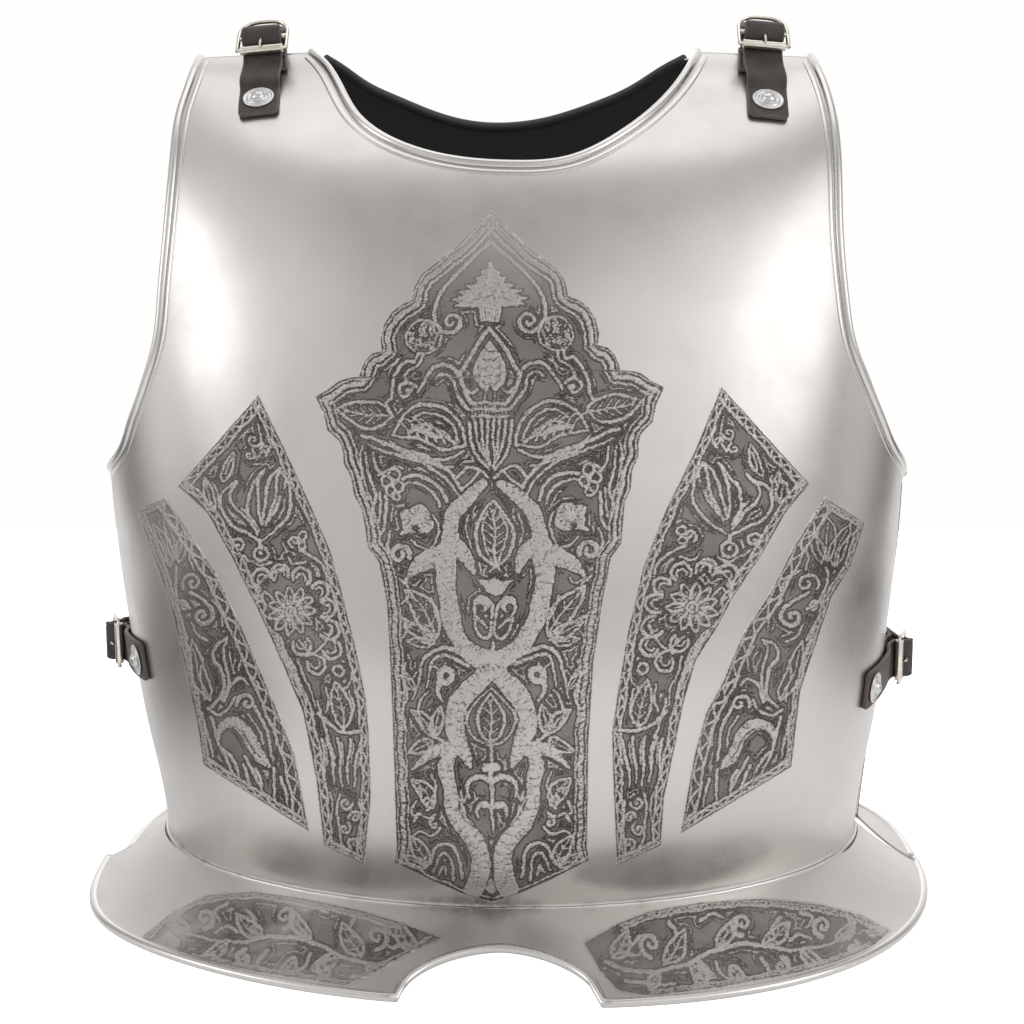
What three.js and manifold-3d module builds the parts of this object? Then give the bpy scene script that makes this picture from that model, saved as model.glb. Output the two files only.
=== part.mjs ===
// Cuirass: a steel breastplate buckled to its backplate.
// Millimetres, +Z up, the breast faces -Y, the wearer's sides are +-X.
// Origin: middle of the footprint, on the plane that the waist flanges stand on.
import * as THREE from 'three';
import { mergeVertices } from 'three/addons/utils/BufferGeometryUtils.js';
import Module from 'manifold-3d';

const wasm = await Module();
wasm.setup();

// ---------------------------------------------------------------- driving sizes
const SHEET = 1.4;            // thickness of both plates
const BEAD = 4.6;             // width of the rolled rim on arms, neck and flange
const PLATE_GAP = 5;          // slit between breast and back along the sides
const WAIST_Z = 26;           // height of the welded waist seam
const FLANGE_SAG = 2.2;       // hollow of the flange between seam and rim
const STRAP_W = 20;           // strap width
const STRAP_T = 2.2;          // leather thickness
const FIT = 0.35;             // gap that touching pieces keep
const WIRE = 2.2;             // buckle wire
const WASHER_D = 15.6;        // ringed washer under the rivet head
const HEAD_D = 6.4;           // domed rivet head
const SHANK_D = 3.6;          // rivet shank
const HOLE_D = 4.6;           // punched hole for a shank
const ROLLER_D = 4.4;
const BUCKLE_IN = 22.4;       // clear width between the buckle's sides

// ---------------------------------------------------------------- tables
// Level sections of the breast, from the waist seam to the shoulder edge.
// z height, w half width, d depth in front of the side plane, n squareness,
// ys how far the side plane stands back, cx sideways offset, droop at x = 150
const BREAST = [
  { z: 26, w: 181.5, d: 131, n: 2, ys: 0, cx: 1, droop: 0 },
  { z: 48, w: 183, d: 140, n: 2.02, ys: 0, cx: 0.8, droop: 0 },
  { z: 85, w: 189.2, d: 149, n: 2.05, ys: 0, cx: 0.4, droop: 0 },
  { z: 130, w: 195, d: 153, n: 2.08, ys: 0, cx: -0.3, droop: 0 },
  { z: 175, w: 199.7, d: 150, n: 2.1, ys: 0, cx: -1, droop: 0 },
  { z: 217, w: 202.3, d: 143, n: 2.12, ys: 0, cx: -1.5, droop: 0 },
  { z: 262, w: 202.5, d: 131, n: 2.15, ys: 0, cx: -1.5, droop: 0 },
  { z: 305, w: 200, d: 115, n: 2.2, ys: 0, cx: -1.5, droop: 0 },
  { z: 345, w: 196, d: 94, n: 2.3, ys: 1, cx: -1.5, droop: 0 },
  { z: 375, w: 193, d: 73, n: 2.4, ys: 4, cx: -1.5, droop: 0.3 },
  { z: 397, w: 191, d: 49, n: 2.6, ys: 8, cx: -1.5, droop: 1 },
  { z: 412, w: 190, d: 30, n: 2.8, ys: 13, cx: -1.5, droop: 2.2 },
  { z: 422, w: 190, d: 12, n: 3, ys: 16, cx: -1.5, droop: 3.4 },
  { z: 428, w: 190, d: 2, n: 3, ys: 24, cx: -1.5, droop: 4 },
];
// The same for the back, whose depth d runs backwards.
const BACK = [
  { z: 26, w: 181, d: 112, n: 2.2, ys: 5, cx: 5, droop: 0 },
  { z: 48, w: 183, d: 118, n: 2.2, ys: 5, cx: 5, droop: 0 },
  { z: 85, w: 188, d: 124, n: 2.2, ys: 5, cx: 4.4, droop: 0 },
  { z: 130, w: 193.6, d: 128, n: 2.2, ys: 5, cx: 4.2, droop: 0 },
  { z: 175, w: 198, d: 128, n: 2.2, ys: 5, cx: 4.2, droop: 0 },
  { z: 214, w: 199.8, d: 126, n: 2.2, ys: 5, cx: 4, droop: 0 },
  { z: 262, w: 200, d: 121, n: 2.2, ys: 5, cx: 3.2, droop: 0 },
  { z: 305, w: 199, d: 112, n: 2.25, ys: 5, cx: 1.6, droop: 0 },
  { z: 345, w: 196, d: 98, n: 2.3, ys: 5, cx: 0, droop: 0 },
  { z: 375, w: 193, d: 81, n: 2.5, ys: 5, cx: -2, droop: 0.3 },
  { z: 397, w: 192, d: 62, n: 2.8, ys: 5, cx: -3, droop: 1 },
  { z: 412, w: 191, d: 46, n: 3.2, ys: 5, cx: -3, droop: 2.2 },
  { z: 421, w: 190, d: 34, n: 3.6, ys: 5, cx: -3, droop: 3.4 },
  { z: 425, w: 190, d: 26, n: 4, ys: 5, cx: -3, droop: 4 },
];
// Arm edges: level z, distance of the edge from the middle on the -X and +X side.
const BREAST_ARM = [
  { z: 216, xl: 204.4, xr: 200.2 },
  { z: 223.5, xl: 197.6, xr: 197.2 },
  { z: 235, xl: 187.8, xr: 189.2 },
  { z: 247, xl: 182.5, xr: 182.7 },
  { z: 259, xl: 177.2, xr: 177 },
  { z: 269, xl: 173.2, xr: 172.3 },
  { z: 289, xl: 166.9, xr: 164.3 },
  { z: 311, xl: 164.7, xr: 160.6 },
  { z: 337, xl: 162.9, xr: 158.6 },
  { z: 358, xl: 162, xr: 158.7 },
  { z: 379, xl: 161.7, xr: 159.2 },
  { z: 397, xl: 161.4, xr: 158.5 },
  { z: 412, xl: 159.4, xr: 156.4 },
  { z: 422, xl: 158.7, xr: 154.5 },
  { z: 428, xl: 158.6, xr: 153.5 },
];
const BACK_ARM = [
  { z: 213, xl: 196, xr: 203.6 },
  { z: 223, xl: 192.8, xr: 200.2 },
  { z: 245, xl: 187, xr: 194.4 },
  { z: 263, xl: 182.6, xr: 188 },
  { z: 290, xl: 175.4, xr: 177.8 },
  { z: 320, xl: 168.2, xr: 168.8 },
  { z: 350, xl: 164, xr: 163 },
  { z: 375, xl: 162, xr: 159.2 },
  { z: 397, xl: 161, xr: 157.2 },
  { z: 412, xl: 159.8, xr: 155.8 },
  { z: 421, xl: 159.2, xr: 154.2 },
  { z: 425, xl: 159, xr: 153 },
];
// Neck edges from the -X shoulder over the lowest point to the +X shoulder.
const BREAST_NECK = [
  { x: -101.2, z: 428 }, { x: -91.2, z: 419.6 }, { x: -74.4, z: 396 },
  { x: -47.3, z: 379.4 }, { x: -21.4, z: 373.4 }, { x: 3.7, z: 371.8 },
  { x: 29.2, z: 373.9 }, { x: 54.6, z: 385.5 }, { x: 75.1, z: 401 },
  { x: 89.4, z: 418 }, { x: 95.5, z: 428 },
];
const BACK_NECK = [
  { x: -95, z: 425 }, { x: -88, z: 420 }, { x: -77.3, z: 411.6 }, { x: -61.1, z: 403.4 },
  { x: -42, z: 395.4 }, { x: -22.4, z: 390.2 }, { x: -0.9, z: 389.2 }, { x: 19, z: 392 },
  { x: 45.1, z: 400.3 }, { x: 64.3, z: 409 }, { x: 80, z: 419.5 }, { x: 89.5, z: 425 },
];
// Waist flanges: half width, depth and squareness of the rim's middle line;
// skew is how much deeper the +X half is hammered out.
const BREAST_FLANGE = { w: 216.8, d: 187.3, skew: 9.3, n: 2.22, corner: 0.5, ys: 0, cx: 1, notchW: 47.4, notchD: 0.56, notchX: -1 };
const BACK_FLANGE = { w: 211.7, d: 163, skew: 0, n: 2.7, corner: 0, ys: 5, cx: 5, notchW: 0, notchD: 0, notchX: 0 };

// ---------------------------------------------------------------- small maths
class Spline {                       // natural cubic through (x, y)
  constructor(x, y) {
    const n = x.length, a = new Array(n).fill(0), b = new Array(n).fill(1), c = new Array(n).fill(0), r = new Array(n).fill(0);
    for (let i = 1; i < n - 1; i++) {
      const h0 = x[i] - x[i - 1], h1 = x[i + 1] - x[i];
      a[i] = h0; b[i] = 2 * (h0 + h1); c[i] = h1;
      r[i] = 6 * ((y[i + 1] - y[i]) / h1 - (y[i] - y[i - 1]) / h0);
    }
    for (let i = 1; i < n; i++) { const m = a[i] / b[i - 1]; b[i] -= m * c[i - 1]; r[i] -= m * r[i - 1]; }
    const m = new Array(n).fill(0);
    m[n - 1] = r[n - 1] / b[n - 1];
    for (let i = n - 2; i >= 0; i--) m[i] = (r[i] - c[i] * m[i + 1]) / b[i];
    this.x = x; this.y = y; this.m = m;
  }
  at(q) {
    const { x, y, m } = this; let i = 0;
    while (i < x.length - 2 && q > x[i + 1]) i++;
    const h = x[i + 1] - x[i], A = (x[i + 1] - q) / h, B = (q - x[i]) / h;
    return A * y[i] + B * y[i + 1] + ((A ** 3 - A) * m[i] + (B ** 3 - B) * m[i + 1]) * h * h / 6;
  }
}
// brings the middle of the footprint onto the Z axis
const CENTRE = { x: -0.9995, y: 9.2751 };
const V3 = (x, y, z) => new THREE.Vector3(x, y, z);
const lerp = (a, b, t) => a + (b - a) * t;
const clamp = (v, a, b) => Math.min(b, Math.max(a, v));

// A plate's surface: theta runs from -X to +X side, v is the length along the middle profile.
class Plate {
  constructor(rows, side) {
    this.side = side;
    const v = [0];
    for (let i = 1; i < rows.length; i++) {
      const f = (r) => [r.ys + side * r.d, r.z], p = f(rows[i - 1]), q = f(rows[i]);
      v.push(v[i - 1] + Math.hypot(q[0] - p[0], q[1] - p[1]));
    }
    this.vmax = v[v.length - 1];
    this.s = {};
    for (const k of ['z', 'w', 'd', 'n', 'ys', 'cx', 'droop']) this.s[k] = new Spline(v, rows.map((r) => r[k]));
  }
  point(th, v) {
    const s = this.s, w = s.w.at(v), n = s.n.at(v), sn = Math.sin(th);
    const y = s.ys.at(v) + this.side * s.d.at(v) * Math.max(0, 1 - Math.abs(sn) ** n) ** (1 / n);
    return V3(s.cx.at(v) + w * sn, y, s.z.at(v) - s.droop.at(v) * (w * sn / 150) ** 2);
  }
  vOfZ(z) {
    let a = 0, b = this.vmax;
    for (let i = 0; i < 50; i++) { const m = (a + b) / 2; if (this.s.z.at(m) < z) a = m; else b = m; }
    return (a + b) / 2;
  }
  thOfX(x, v) { return Math.asin(clamp((x - this.s.cx.at(v)) / this.s.w.at(v), -1, 1)); }
  normal(th, v) {
    const e = 0.004, t = clamp(th, -Math.PI / 2 + 2 * e, Math.PI / 2 - 2 * e), u = clamp(v, 1, this.vmax - 1);
    const a = this.point(t + e, u).sub(this.point(t - e, u)), b = this.point(t, u + 0.5).sub(this.point(t, u - 0.5));
    return a.cross(b).normalize().multiplyScalar(-this.side);
  }
  // point of the surface where a level line z meets the plane x
  atXZ(x, z) { const v = this.vOfZ(z), th = this.thOfX(x, v); return { p: this.point(th, v), n: this.normal(th, v) }; }
}

// resample a 3D polyline given by f(t), t in 0..1, at equal lengths
function evenSteps(f, count, dense = 400) {
  const L = [0]; let p = f(0);
  for (let i = 1; i <= dense; i++) { const q = f(i / dense); L.push(L[i - 1] + q.distanceTo(p)); p = q; }
  const out = [];
  let k = 0;
  for (let j = 0; j <= count; j++) {
    const want = L[dense] * j / count;
    while (k < dense - 1 && L[k + 1] < want) k++;
    out.push((k + (want - L[k]) / Math.max(1e-9, L[k + 1] - L[k])) / dense);
  }
  return out;
}

// ---------------------------------------------------------------- mesh helpers
function geometry(vertices, triangles) {
  const g = new THREE.BufferGeometry();
  g.setAttribute('position', new THREE.Float32BufferAttribute(vertices.flatMap((p) => [p.x, p.y, p.z]), 3));
  g.setIndex(triangles.flat());
  return g;
}
function toSolid(g) {
  const h = g.clone();
  for (const k of Object.keys(h.attributes)) if (k !== 'position') h.deleteAttribute(k);
  const m = mergeVertices(h, 1e-4);
  const tri = m.index ? Uint32Array.from(m.index.array) : Uint32Array.from({ length: m.attributes.position.count }, (_, i) => i);
  let s = new wasm.Manifold(new wasm.Mesh({ numProp: 3, vertProperties: Float32Array.from(m.attributes.position.array), triVerts: tri }));
  if (s.volume() < 0) {
    const flip = new Uint32Array(tri.length);
    for (let i = 0; i < tri.length; i += 3) { flip[i] = tri[i]; flip[i + 1] = tri[i + 2]; flip[i + 2] = tri[i + 1]; }
    s = new wasm.Manifold(new wasm.Mesh({ numProp: 3, vertProperties: Float32Array.from(m.attributes.position.array), triVerts: flip }));
  }
  return s;
}
function fromSolid(s) {
  const m = s.getMesh(), g = new THREE.BufferGeometry();
  const np = m.numProp, n = m.vertProperties.length / np, pos = new Float32Array(n * 3);
  for (let i = 0; i < n; i++) for (let k = 0; k < 3; k++) pos[3 * i + k] = m.vertProperties[i * np + k];
  g.setAttribute('position', new THREE.BufferAttribute(pos, 3));
  g.setIndex(Array.from(m.triVerts));
  return g;
}
// the one body that is left when the crumbs of a union are dropped
const mainBody = (s) => s.decompose().reduce((a, b) => (b.volume() > a.volume() ? b : a));
// which diagonal folds the panel i, j of a grid least
function bendsLess(g, i, j) {
  const a = g[i][j], b = g[i][j + 1], c = g[i + 1][j + 1], d = g[i + 1][j];
  const n = (p, q, r) => q.clone().sub(p).cross(r.clone().sub(p)).normalize();
  return n(a, b, c).dot(n(a, c, d)) >= n(b, c, d).dot(n(b, d, a));
}
// closed shell between two grids of points, rows x columns
function shell(outer, inner, mid) {
  const R = outer.length, C = outer[0].length, v = [], t = [];
  const a = (i, j) => i * C + j, b = (i, j) => R * C + i * C + j;
  outer.forEach((r) => r.forEach((p) => v.push(p)));
  inner.forEach((r) => r.forEach((p) => v.push(p)));
  const quad = (p, q, r, s) => t.push([p, q, r], [p, r, s]);
  for (let i = 0; i < R - 1; i++) for (let j = 0; j < C - 1; j++) {
    if (bendsLess(mid, i, j)) { quad(a(i, j), a(i, j + 1), a(i + 1, j + 1), a(i + 1, j)); quad(b(i, j), b(i + 1, j), b(i + 1, j + 1), b(i, j + 1)); }
    else { quad(a(i, j + 1), a(i + 1, j + 1), a(i + 1, j), a(i, j)); quad(b(i, j + 1), b(i, j), b(i + 1, j), b(i + 1, j + 1)); }
  }
  for (let j = 0; j < C - 1; j++) { quad(a(0, j + 1), a(0, j), b(0, j), b(0, j + 1)); quad(a(R - 1, j), a(R - 1, j + 1), b(R - 1, j + 1), b(R - 1, j)); }
  for (let i = 0; i < R - 1; i++) { quad(a(i, 0), a(i + 1, 0), b(i + 1, 0), b(i, 0)); quad(a(i + 1, C - 1), a(i, C - 1), b(i, C - 1), b(i + 1, C - 1)); }
  return geometry(v, t);
}
// closed tube: a ring of points round each station
function tube(rings) {
  const n = rings[0].length, v = rings.flat(), t = [];
  for (let i = 0; i < rings.length - 1; i++) for (let k = 0; k < n; k++) {
    const a = i * n + k, b = i * n + (k + 1) % n;
    t.push([a, b, b + n], [a, b + n, a + n]);
  }
  for (let k = 1; k < n - 1; k++) { t.push([0, k + 1, k]); const o = (rings.length - 1) * n; t.push([o, o + k, o + k + 1]); }
  return geometry(v, t);
}
function tangents(P) {
  return P.map((p, i) => P[Math.min(i + 1, P.length - 1)].clone().sub(P[Math.max(i - 1, 0)]).normalize());
}
// round bead along an edge that lies on a surface with the normals N
function bead(P, N, r, sides, lift) {
  const T = tangents(P);
  return tube(P.map((p, i) => {
    const n = N[i].clone().addScaledVector(T[i], -N[i].dot(T[i])).normalize(), b = T[i].clone().cross(n);
    const c = p.clone().addScaledVector(n, lift), ring = [];
    for (let k = 0; k < sides; k++) { const f = 2 * Math.PI * (k + 0.5) / sides; ring.push(c.clone().addScaledVector(n, r * Math.cos(f)).addScaledVector(b, r * Math.sin(f))); }
    return ring;
  }));
}
// bead along a rim that stands on a level floor: its underside is flat
function floorBead(P, r, sides) {
  const T = tangents(P.map((p) => V3(p.x, p.y, 0)));
  return tube(P.map((p, i) => {
    const b = V3(T[i].y, -T[i].x, 0), ring = [];
    const inn = i > 0 && i < P.length - 1 ? 1 / Math.max(0.6, Math.cos(0.5 * V3(p.x - P[i - 1].x, p.y - P[i - 1].y, 0).angleTo(V3(P[i + 1].x - p.x, P[i + 1].y - p.y, 0)))) : 1;
    for (let k = 0; k < sides; k++) { const f = 2 * Math.PI * (k + 0.5) / sides; ring.push(V3(p.x + b.x * r * inn * Math.sin(f), p.y + b.y * r * inn * Math.sin(f), p.z + r * Math.cos(f))); }
    return ring;
  }));
}

// ---------------------------------------------------------------- the two plates
function plateEdges(plate, arm, neck) {
  const vz = arm.map((r) => r.z);
  const l = new Spline(vz, arm.map((r) => r.xl)), r = new Spline(vz, arm.map((q) => q.xr));
  const z0 = vz[0], z1 = vz[vz.length - 1];
  const onPlate = (x, z) => { const v = z >= z1 - 1e-6 ? plate.vmax : plate.vOfZ(z); return [plate.thOfX(x, v), v]; };
  const left = (t) => { const z = lerp(z0, z1, t); const q = onPlate(-l.at(z), z); return t === 0 ? [-Math.PI / 2, q[1]] : q; };
  const right = (t) => { const z = lerp(z1, z0, t); const q = onPlate(r.at(z), z); return t === 1 ? [Math.PI / 2, q[1]] : q; };
  const nl = [0];
  for (let i = 1; i < neck.length; i++) nl.push(nl[i - 1] + Math.hypot(neck[i].x - neck[i - 1].x, neck[i].z - neck[i - 1].z));
  const nx = new Spline(nl, neck.map((q) => q.x)), nz = new Spline(nl, neck.map((q) => q.z)), N = nl[nl.length - 1];
  const throat = (t) => onPlate(nx.at(t * N), clamp(nz.at(t * N), 300, z1));
  const shoulderL = (t) => onPlate(lerp(-l.at(z1), neck[0].x, t), z1);
  const shoulderR = (t) => onPlate(lerp(neck[neck.length - 1].x, r.at(z1), t), z1);
  return [
    { f: left, n: 10 }, { f: shoulderL, n: 3 }, { f: throat, n: 12 }, { f: shoulderR, n: 3 }, { f: right, n: 10 },
  ];
}
function rimPoint(F, th, side) {
  const s = Math.sin(th), n = F.n + F.corner * Math.max(0, -s) ** 6;
  return V3(F.cx + F.w * s, F.ys + side * (F.d + F.skew * s) * Math.max(0, 1 - Math.abs(s) ** n) ** (1 / n), 0);
}
function makePlate(rows, arm, neck, F, side) {
  const plate = new Plate(rows, side), runs = plateEdges(plate, arm, neck);
  // columns: waist angle, and where the column ends on the top edge
  const top = [];
  runs.forEach((run, k) => evenSteps((t) => plate.point(...run.f(t)), run.n).forEach((t, j) => { if (j || !k) top.push(run.f(t)); }));
  const C = top.length - 1, len = [0];
  for (let j = 1; j <= C; j++) len.push(len[j - 1] + plate.point(...top[j]).distanceTo(plate.point(...top[j - 1])));
  // waist angles: even along the waist, with columns at the notch's corners
  const wx = evenSteps((t) => plate.point(lerp(-Math.PI / 2, Math.PI / 2, t), 0), 400, 800).map((t) => lerp(-Math.PI / 2, Math.PI / 2, t));
  const low = len.map((q) => wx[Math.round(400 * q / len[C])]);
  low[0] = -Math.PI / 2; low[C] = Math.PI / 2;
  if (F.notchW) for (const s of [-1, 1]) {
    const want = Math.asin((F.notchX - F.cx + s * F.notchW) / F.w);
    let best = 1; for (let j = 1; j < C; j++) if (Math.abs(low[j] - want) < Math.abs(low[best] - want)) best = j;
    low[best] = want;
  }
  const radius = BEAD / 2, rimZ = radius * Math.cos(Math.PI / 8);
  const flangeRows = 3, bodyRows = 12, mid = [];
  const rim = (th) => {
    const p = rimPoint(F, th, side); p.z = rimZ;
    const w = plate.point(th, 0);
    let f = 0;
    if (F.notchW) { const q = (p.x - F.notchX) / F.notchW; if (Math.abs(q) < 1) f = F.notchD * Math.sqrt(Math.max(0, 1 - Math.abs(q) ** 1.75)); }
    return { p: p.clone().lerp(w, f), f };
  };
  for (let i = 0; i < flangeRows; i++) mid.push(low.map((th) => {
    const a = rim(th), b = plate.point(th, 0), g = i / flangeRows, p = a.p.clone().lerp(b, g), h = lerp(a.f, 1, g);
    p.z -= FLANGE_SAG * 4 * h * (1 - h) * (1 - g) ** 0.2; return p;
  }));
  mid[0].forEach((p, j) => { p.z = rim(low[j]).p.z; });
  for (let i = 0; i <= bodyRows; i++) { const f = i / bodyRows; mid.push(low.map((th, j) => plate.point(lerp(th, top[j][0], f), top[j][1] * f))); }
  // thicken along the averaged normals
  const R = mid.length, nrm = mid.map((r) => r.map(() => V3(0, 0, 0))), fn = mid.map((r) => r.map(() => []));
  for (let i = 0; i < R - 1; i++) for (let j = 0; j < C; j++) {
    const a = mid[i][j], b = mid[i][j + 1], c = mid[i + 1][j + 1], d = mid[i + 1][j];
    const n = c.clone().sub(a).cross(d.clone().sub(b)).multiplyScalar(-side); if (n.lengthSq() < 1e-12) continue; n.normalize();
    for (const [p, q] of [[i, j], [i, j + 1], [i + 1, j + 1], [i + 1, j]]) { nrm[p][q].add(n); fn[p][q].push(n); }
  }
  const off = (s) => mid.map((r, i) => r.map((p, j) => {
    const n = nrm[i][j].clone().normalize(); let c = 1; fn[i][j].forEach((m) => { c = Math.min(c, m.dot(n)); });
    return p.clone().addScaledVector(n, s * SHEET / 2 / Math.max(0.8, c));
  }));
  let solid = toSolid(shell(off(1), off(-1), mid));
  // rolled rims, along the arm edges and the neck
  let j0 = 0;
  runs.forEach((run, k) => {
    const j1 = j0 + run.n;
    if (k % 2 === 0) solid = solid.add(toSolid(bead(mid[R - 1].slice(j0, j1 + 1), nrm[R - 1].slice(j0, j1 + 1).map((n) => n.clone().normalize()), radius, 6, 0.5)));
    j0 = j1;
  });
  solid = solid.add(toSolid(floorBead(mid[0].map((p) => p.clone()), radius, 8)));
  return { plate, solid: mainBody(solid), mid };
}
const breast = makePlate(BREAST, BREAST_ARM, BREAST_NECK, BREAST_FLANGE, -1);
const back = makePlate(BACK, BACK_ARM, BACK_NECK, BACK_FLANGE, 1);


// ---------------------------------------------------------------- straps and buckles
// Each fastening lies in a plane: `a` runs from breast to back, `b` away from the body,
// `u` across the strap. s is the side it sits on, at the place `across` (x, or z at the flanks).
const FASTENINGS = [
  { name: 'shoulder_left', flank: false, across: -123.2, end: -38, rivet: -28.6, roller: [-7.5, 427.6], tilt: 42, roll: 8.5, backRivet: 60, tail: 43, safe: 0, safeU: 3.2, rise: 0, lean: -0.07, slide: 5.5 },
  { name: 'shoulder_right', flank: false, across: 127, end: -38, rivet: -28.6, roller: [-5, 429.6], tilt: 42, roll: -8.5, backRivet: 60, tail: 43, safe: -2.5, safeU: -3.2, rise: 0, lean: 0.02, slide: 3 },
  { name: 'side_left', flank: true, s: -1, across: 128, end: -66, rivet: -57.5, roller: [-11, 203.9], tilt: 17, roll: 0, backRivet: 55, tail: 40, safe: -5.5, safeU: 0, rise: -5, step: 6.6, lean: 0, slide: 0 },
  { name: 'side_right', flank: true, s: 1, across: 115, end: -66, rivet: -57.5, roller: [-11, 203.2], tilt: 17, roll: 0, backRivet: 60, tail: 45, safe: -5.5, safeU: 0, rise: 2, step: 0, lean: 0, slide: 0 },
];
const PITCH = 9;              // roller bar to middle bar
const BUCKLE_TIP = 17.8;      // strap width past the bow
const seam = (k) => (k.flank ? PLATE_GAP / 2 : 24.7);     // depth y where the breastplate ends and the backplate begins
// distance from p along the direction d to a plate's flat facets, or null
function toFacets(mid, p, d) {
  let best = null;
  const hit = (a, b, c) => {
    const e1 = b.clone().sub(a), e2 = c.clone().sub(a), h = d.clone().cross(e2), det = e1.dot(h);
    if (Math.abs(det) < 1e-9) return;
    const s0 = p.clone().sub(a), u = s0.dot(h) / det; if (u < -1e-6 || u > 1 + 1e-6) return;
    const q = s0.clone().cross(e1), w = d.dot(q) / det; if (w < -1e-6 || u + w > 1 + 1e-6) return;
    const t = e2.dot(q) / det;
    if (Math.abs(t) < 14 && (best === null || t < best.t)) best = { t, n: e1.clone().cross(e2).normalize() };
  };
  for (let i = 3; i < mid.length - 1; i++) for (let j = 0; j < mid[0].length - 1; j++) {
    const A = mid[i][j]; if (Math.abs(A.z - p.z) > 70 || Math.abs(A.x - p.x) > 90) continue;
    if (bendsLess(mid, i, j)) { hit(A, mid[i][j + 1], mid[i + 1][j + 1]); hit(A, mid[i + 1][j + 1], mid[i + 1][j]); }
    else { hit(mid[i][j + 1], mid[i + 1][j + 1], mid[i + 1][j]); hit(mid[i][j + 1], mid[i + 1][j], A); }
  }
  return best;
}
// place on a plate where the fastening's plane cuts it at the depth y
function onPlate(k, y, flat = false) {
  const side = y < seam(k) ? breast : back, plate = side.plate;
  let p, n;
  if (k.flank) {
    const v = plate.vOfZ(k.across + k.rise * (y + 60) / 60), f = (t) => plate.point(t, v).y;
    let a = k.s * Math.PI / 2, b = 0;
    for (let i = 0; i < 40; i++) { const m = (a + b) / 2; if (Math.abs(f(m) - plate.s.ys.at(v)) < Math.abs(y - plate.s.ys.at(v))) a = m; else b = m; }
    p = plate.point(a, v); n = plate.normal(a, v);
  } else {
    let a = plate.vOfZ(330), b = plate.vmax;
    const x = k.across + k.lean * (y - k.roller[0]), g = (v) => plate.point(plate.thOfX(x, v), v).y;
    for (let i = 0; i < 40; i++) { const m = (a + b) / 2; if ((g(m) - y) * plate.side > 0) a = m; else b = m; }
    const th = plate.thOfX(x, a); p = plate.point(th, a); n = plate.normal(th, a);
  }
  if (flat) {            // on the facet itself, square to it
    const h = toFacets(side.mid, p.clone().addScaledVector(n, 8), n.clone().negate());
    if (h) { p.addScaledVector(n, 8 - h.t); n = h.n.dot(n) < 0 ? h.n.negate() : h.n; }
  }
  return { p, n };
}
// lift a strap's stations clear of the facets below it
function drape(stations, clear) {
  for (const q of stations) {
    let need = -Infinity;
    for (const du of [-1, -0.5, 0, 0.5, 1]) {
      const p = q.p.clone().addScaledVector(q.u, (q.du || 0) + du * STRAP_W / 2).addScaledVector(q.n, 6), d = q.n.clone().negate();
      for (const side of [breast, back]) { const h = toFacets(side.mid, p, d); if (h) need = Math.max(need, 6 - h.t); }
    }
    if (need > -Infinity) q.p.addScaledVector(q.n, Math.max(0, need + clear(q)));
  }
  return stations;
}
const alongOf = (k) => V3(0, 1, 0);
const upOf = (k) => (k.flank ? V3(k.s, 0, 0) : V3(0, 0, 1));
// a point of the plane from (a, b), b being height at the shoulders and |x| at the flanks
const inPlane = (k, a, b) => (k.flank ? V3(k.s * b, a, k.across + k.rise * (a + 60) / 60) : V3(k.across + k.lean * (a - k.roller[0]), a, b));
// unit vector across the strap where it lies against the normal n
function acrossAt(k, n) {
  const side = k.flank ? V3(0, 0, 1) : V3(1, 0, 0);
  const t = side.clone().cross(n).normalize();      // runs up the plate in the strap's plane
  return n.clone().cross(t).normalize().multiplyScalar(Math.sign(n.clone().cross(t).dot(side)) || 1);
}
function buckleFrame(k) {
  const tl = THREE.MathUtils.degToRad(k.tilt), r = THREE.MathUtils.degToRad(k.roll);
  const a = alongOf(k), b = upOf(k);
  const Q = a.clone().multiplyScalar(Math.cos(tl)).addScaledVector(b, Math.sin(tl));
  let U = k.flank ? V3(0, 0, 1) : V3(Math.cos(r), 0, Math.sin(r));
  U.addScaledVector(Q, -U.dot(Q)).normalize();
  const M = Q.clone().cross(U).normalize(); if (M.dot(b) < 0) M.negate();
  return { O: inPlane(k, ...k.roller), Q, U, M };
}
const inBuckle = (f, u, q, m) => f.O.clone().addScaledVector(f.U, u).addScaledVector(f.Q, q).addScaledVector(f.M, m);
// leather strap: a flat section swept through stations { p, u }, n away from the body
function strapSolid(st, width, thick) {
  const P = st.map((q) => q.p), T = tangents(P), rings = [];
  st.forEach((q, i) => {
    const u = q.u.clone().addScaledVector(T[i], -q.u.dot(T[i])).normalize();
    let n = T[i].clone().cross(u); if (n.dot(q.n) < 0) n.negate();
    const c = [[1, 1], [-1, 1], [-1, -1], [1, -1]];
    rings.push(c.map(([x, y]) => q.p.clone().addScaledVector(u, (q.du || 0) + x * (q.w || width) / 2).addScaledVector(n, y * thick / 2)));
  });
  return toSolid(tube(rings));
}
// smooth a route of key stations into short steps
function route(keys, step) {
  const curve = new THREE.CatmullRomCurve3(keys.map((q) => q.p), false, 'centripetal');
  const uc = new THREE.CatmullRomCurve3(keys.map((q) => q.u), false, 'centripetal'), nc = new THREE.CatmullRomCurve3(keys.map((q) => q.n), false, 'centripetal');
  const m = 40 * (keys.length - 1), L = [0]; let p = curve.getPoint(0);
  for (let i = 1; i <= m; i++) { const q = curve.getPoint(i / m); L.push(L[i - 1] + q.distanceTo(p)); p = q; }
  const count = Math.max(3, Math.round(L[m] / step)), out = []; let j = 0;
  for (let i = 0; i <= count; i++) {
    const w = L[m] * i / count; while (j < m - 1 && L[j + 1] < w) j++;
    const t = (j + (w - L[j]) / Math.max(1e-9, L[j + 1] - L[j])) / m;
    out.push({ p: curve.getPoint(t), u: uc.getPoint(t).normalize(), n: nc.getPoint(t).normalize() });
  }
  return out;
}
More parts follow.
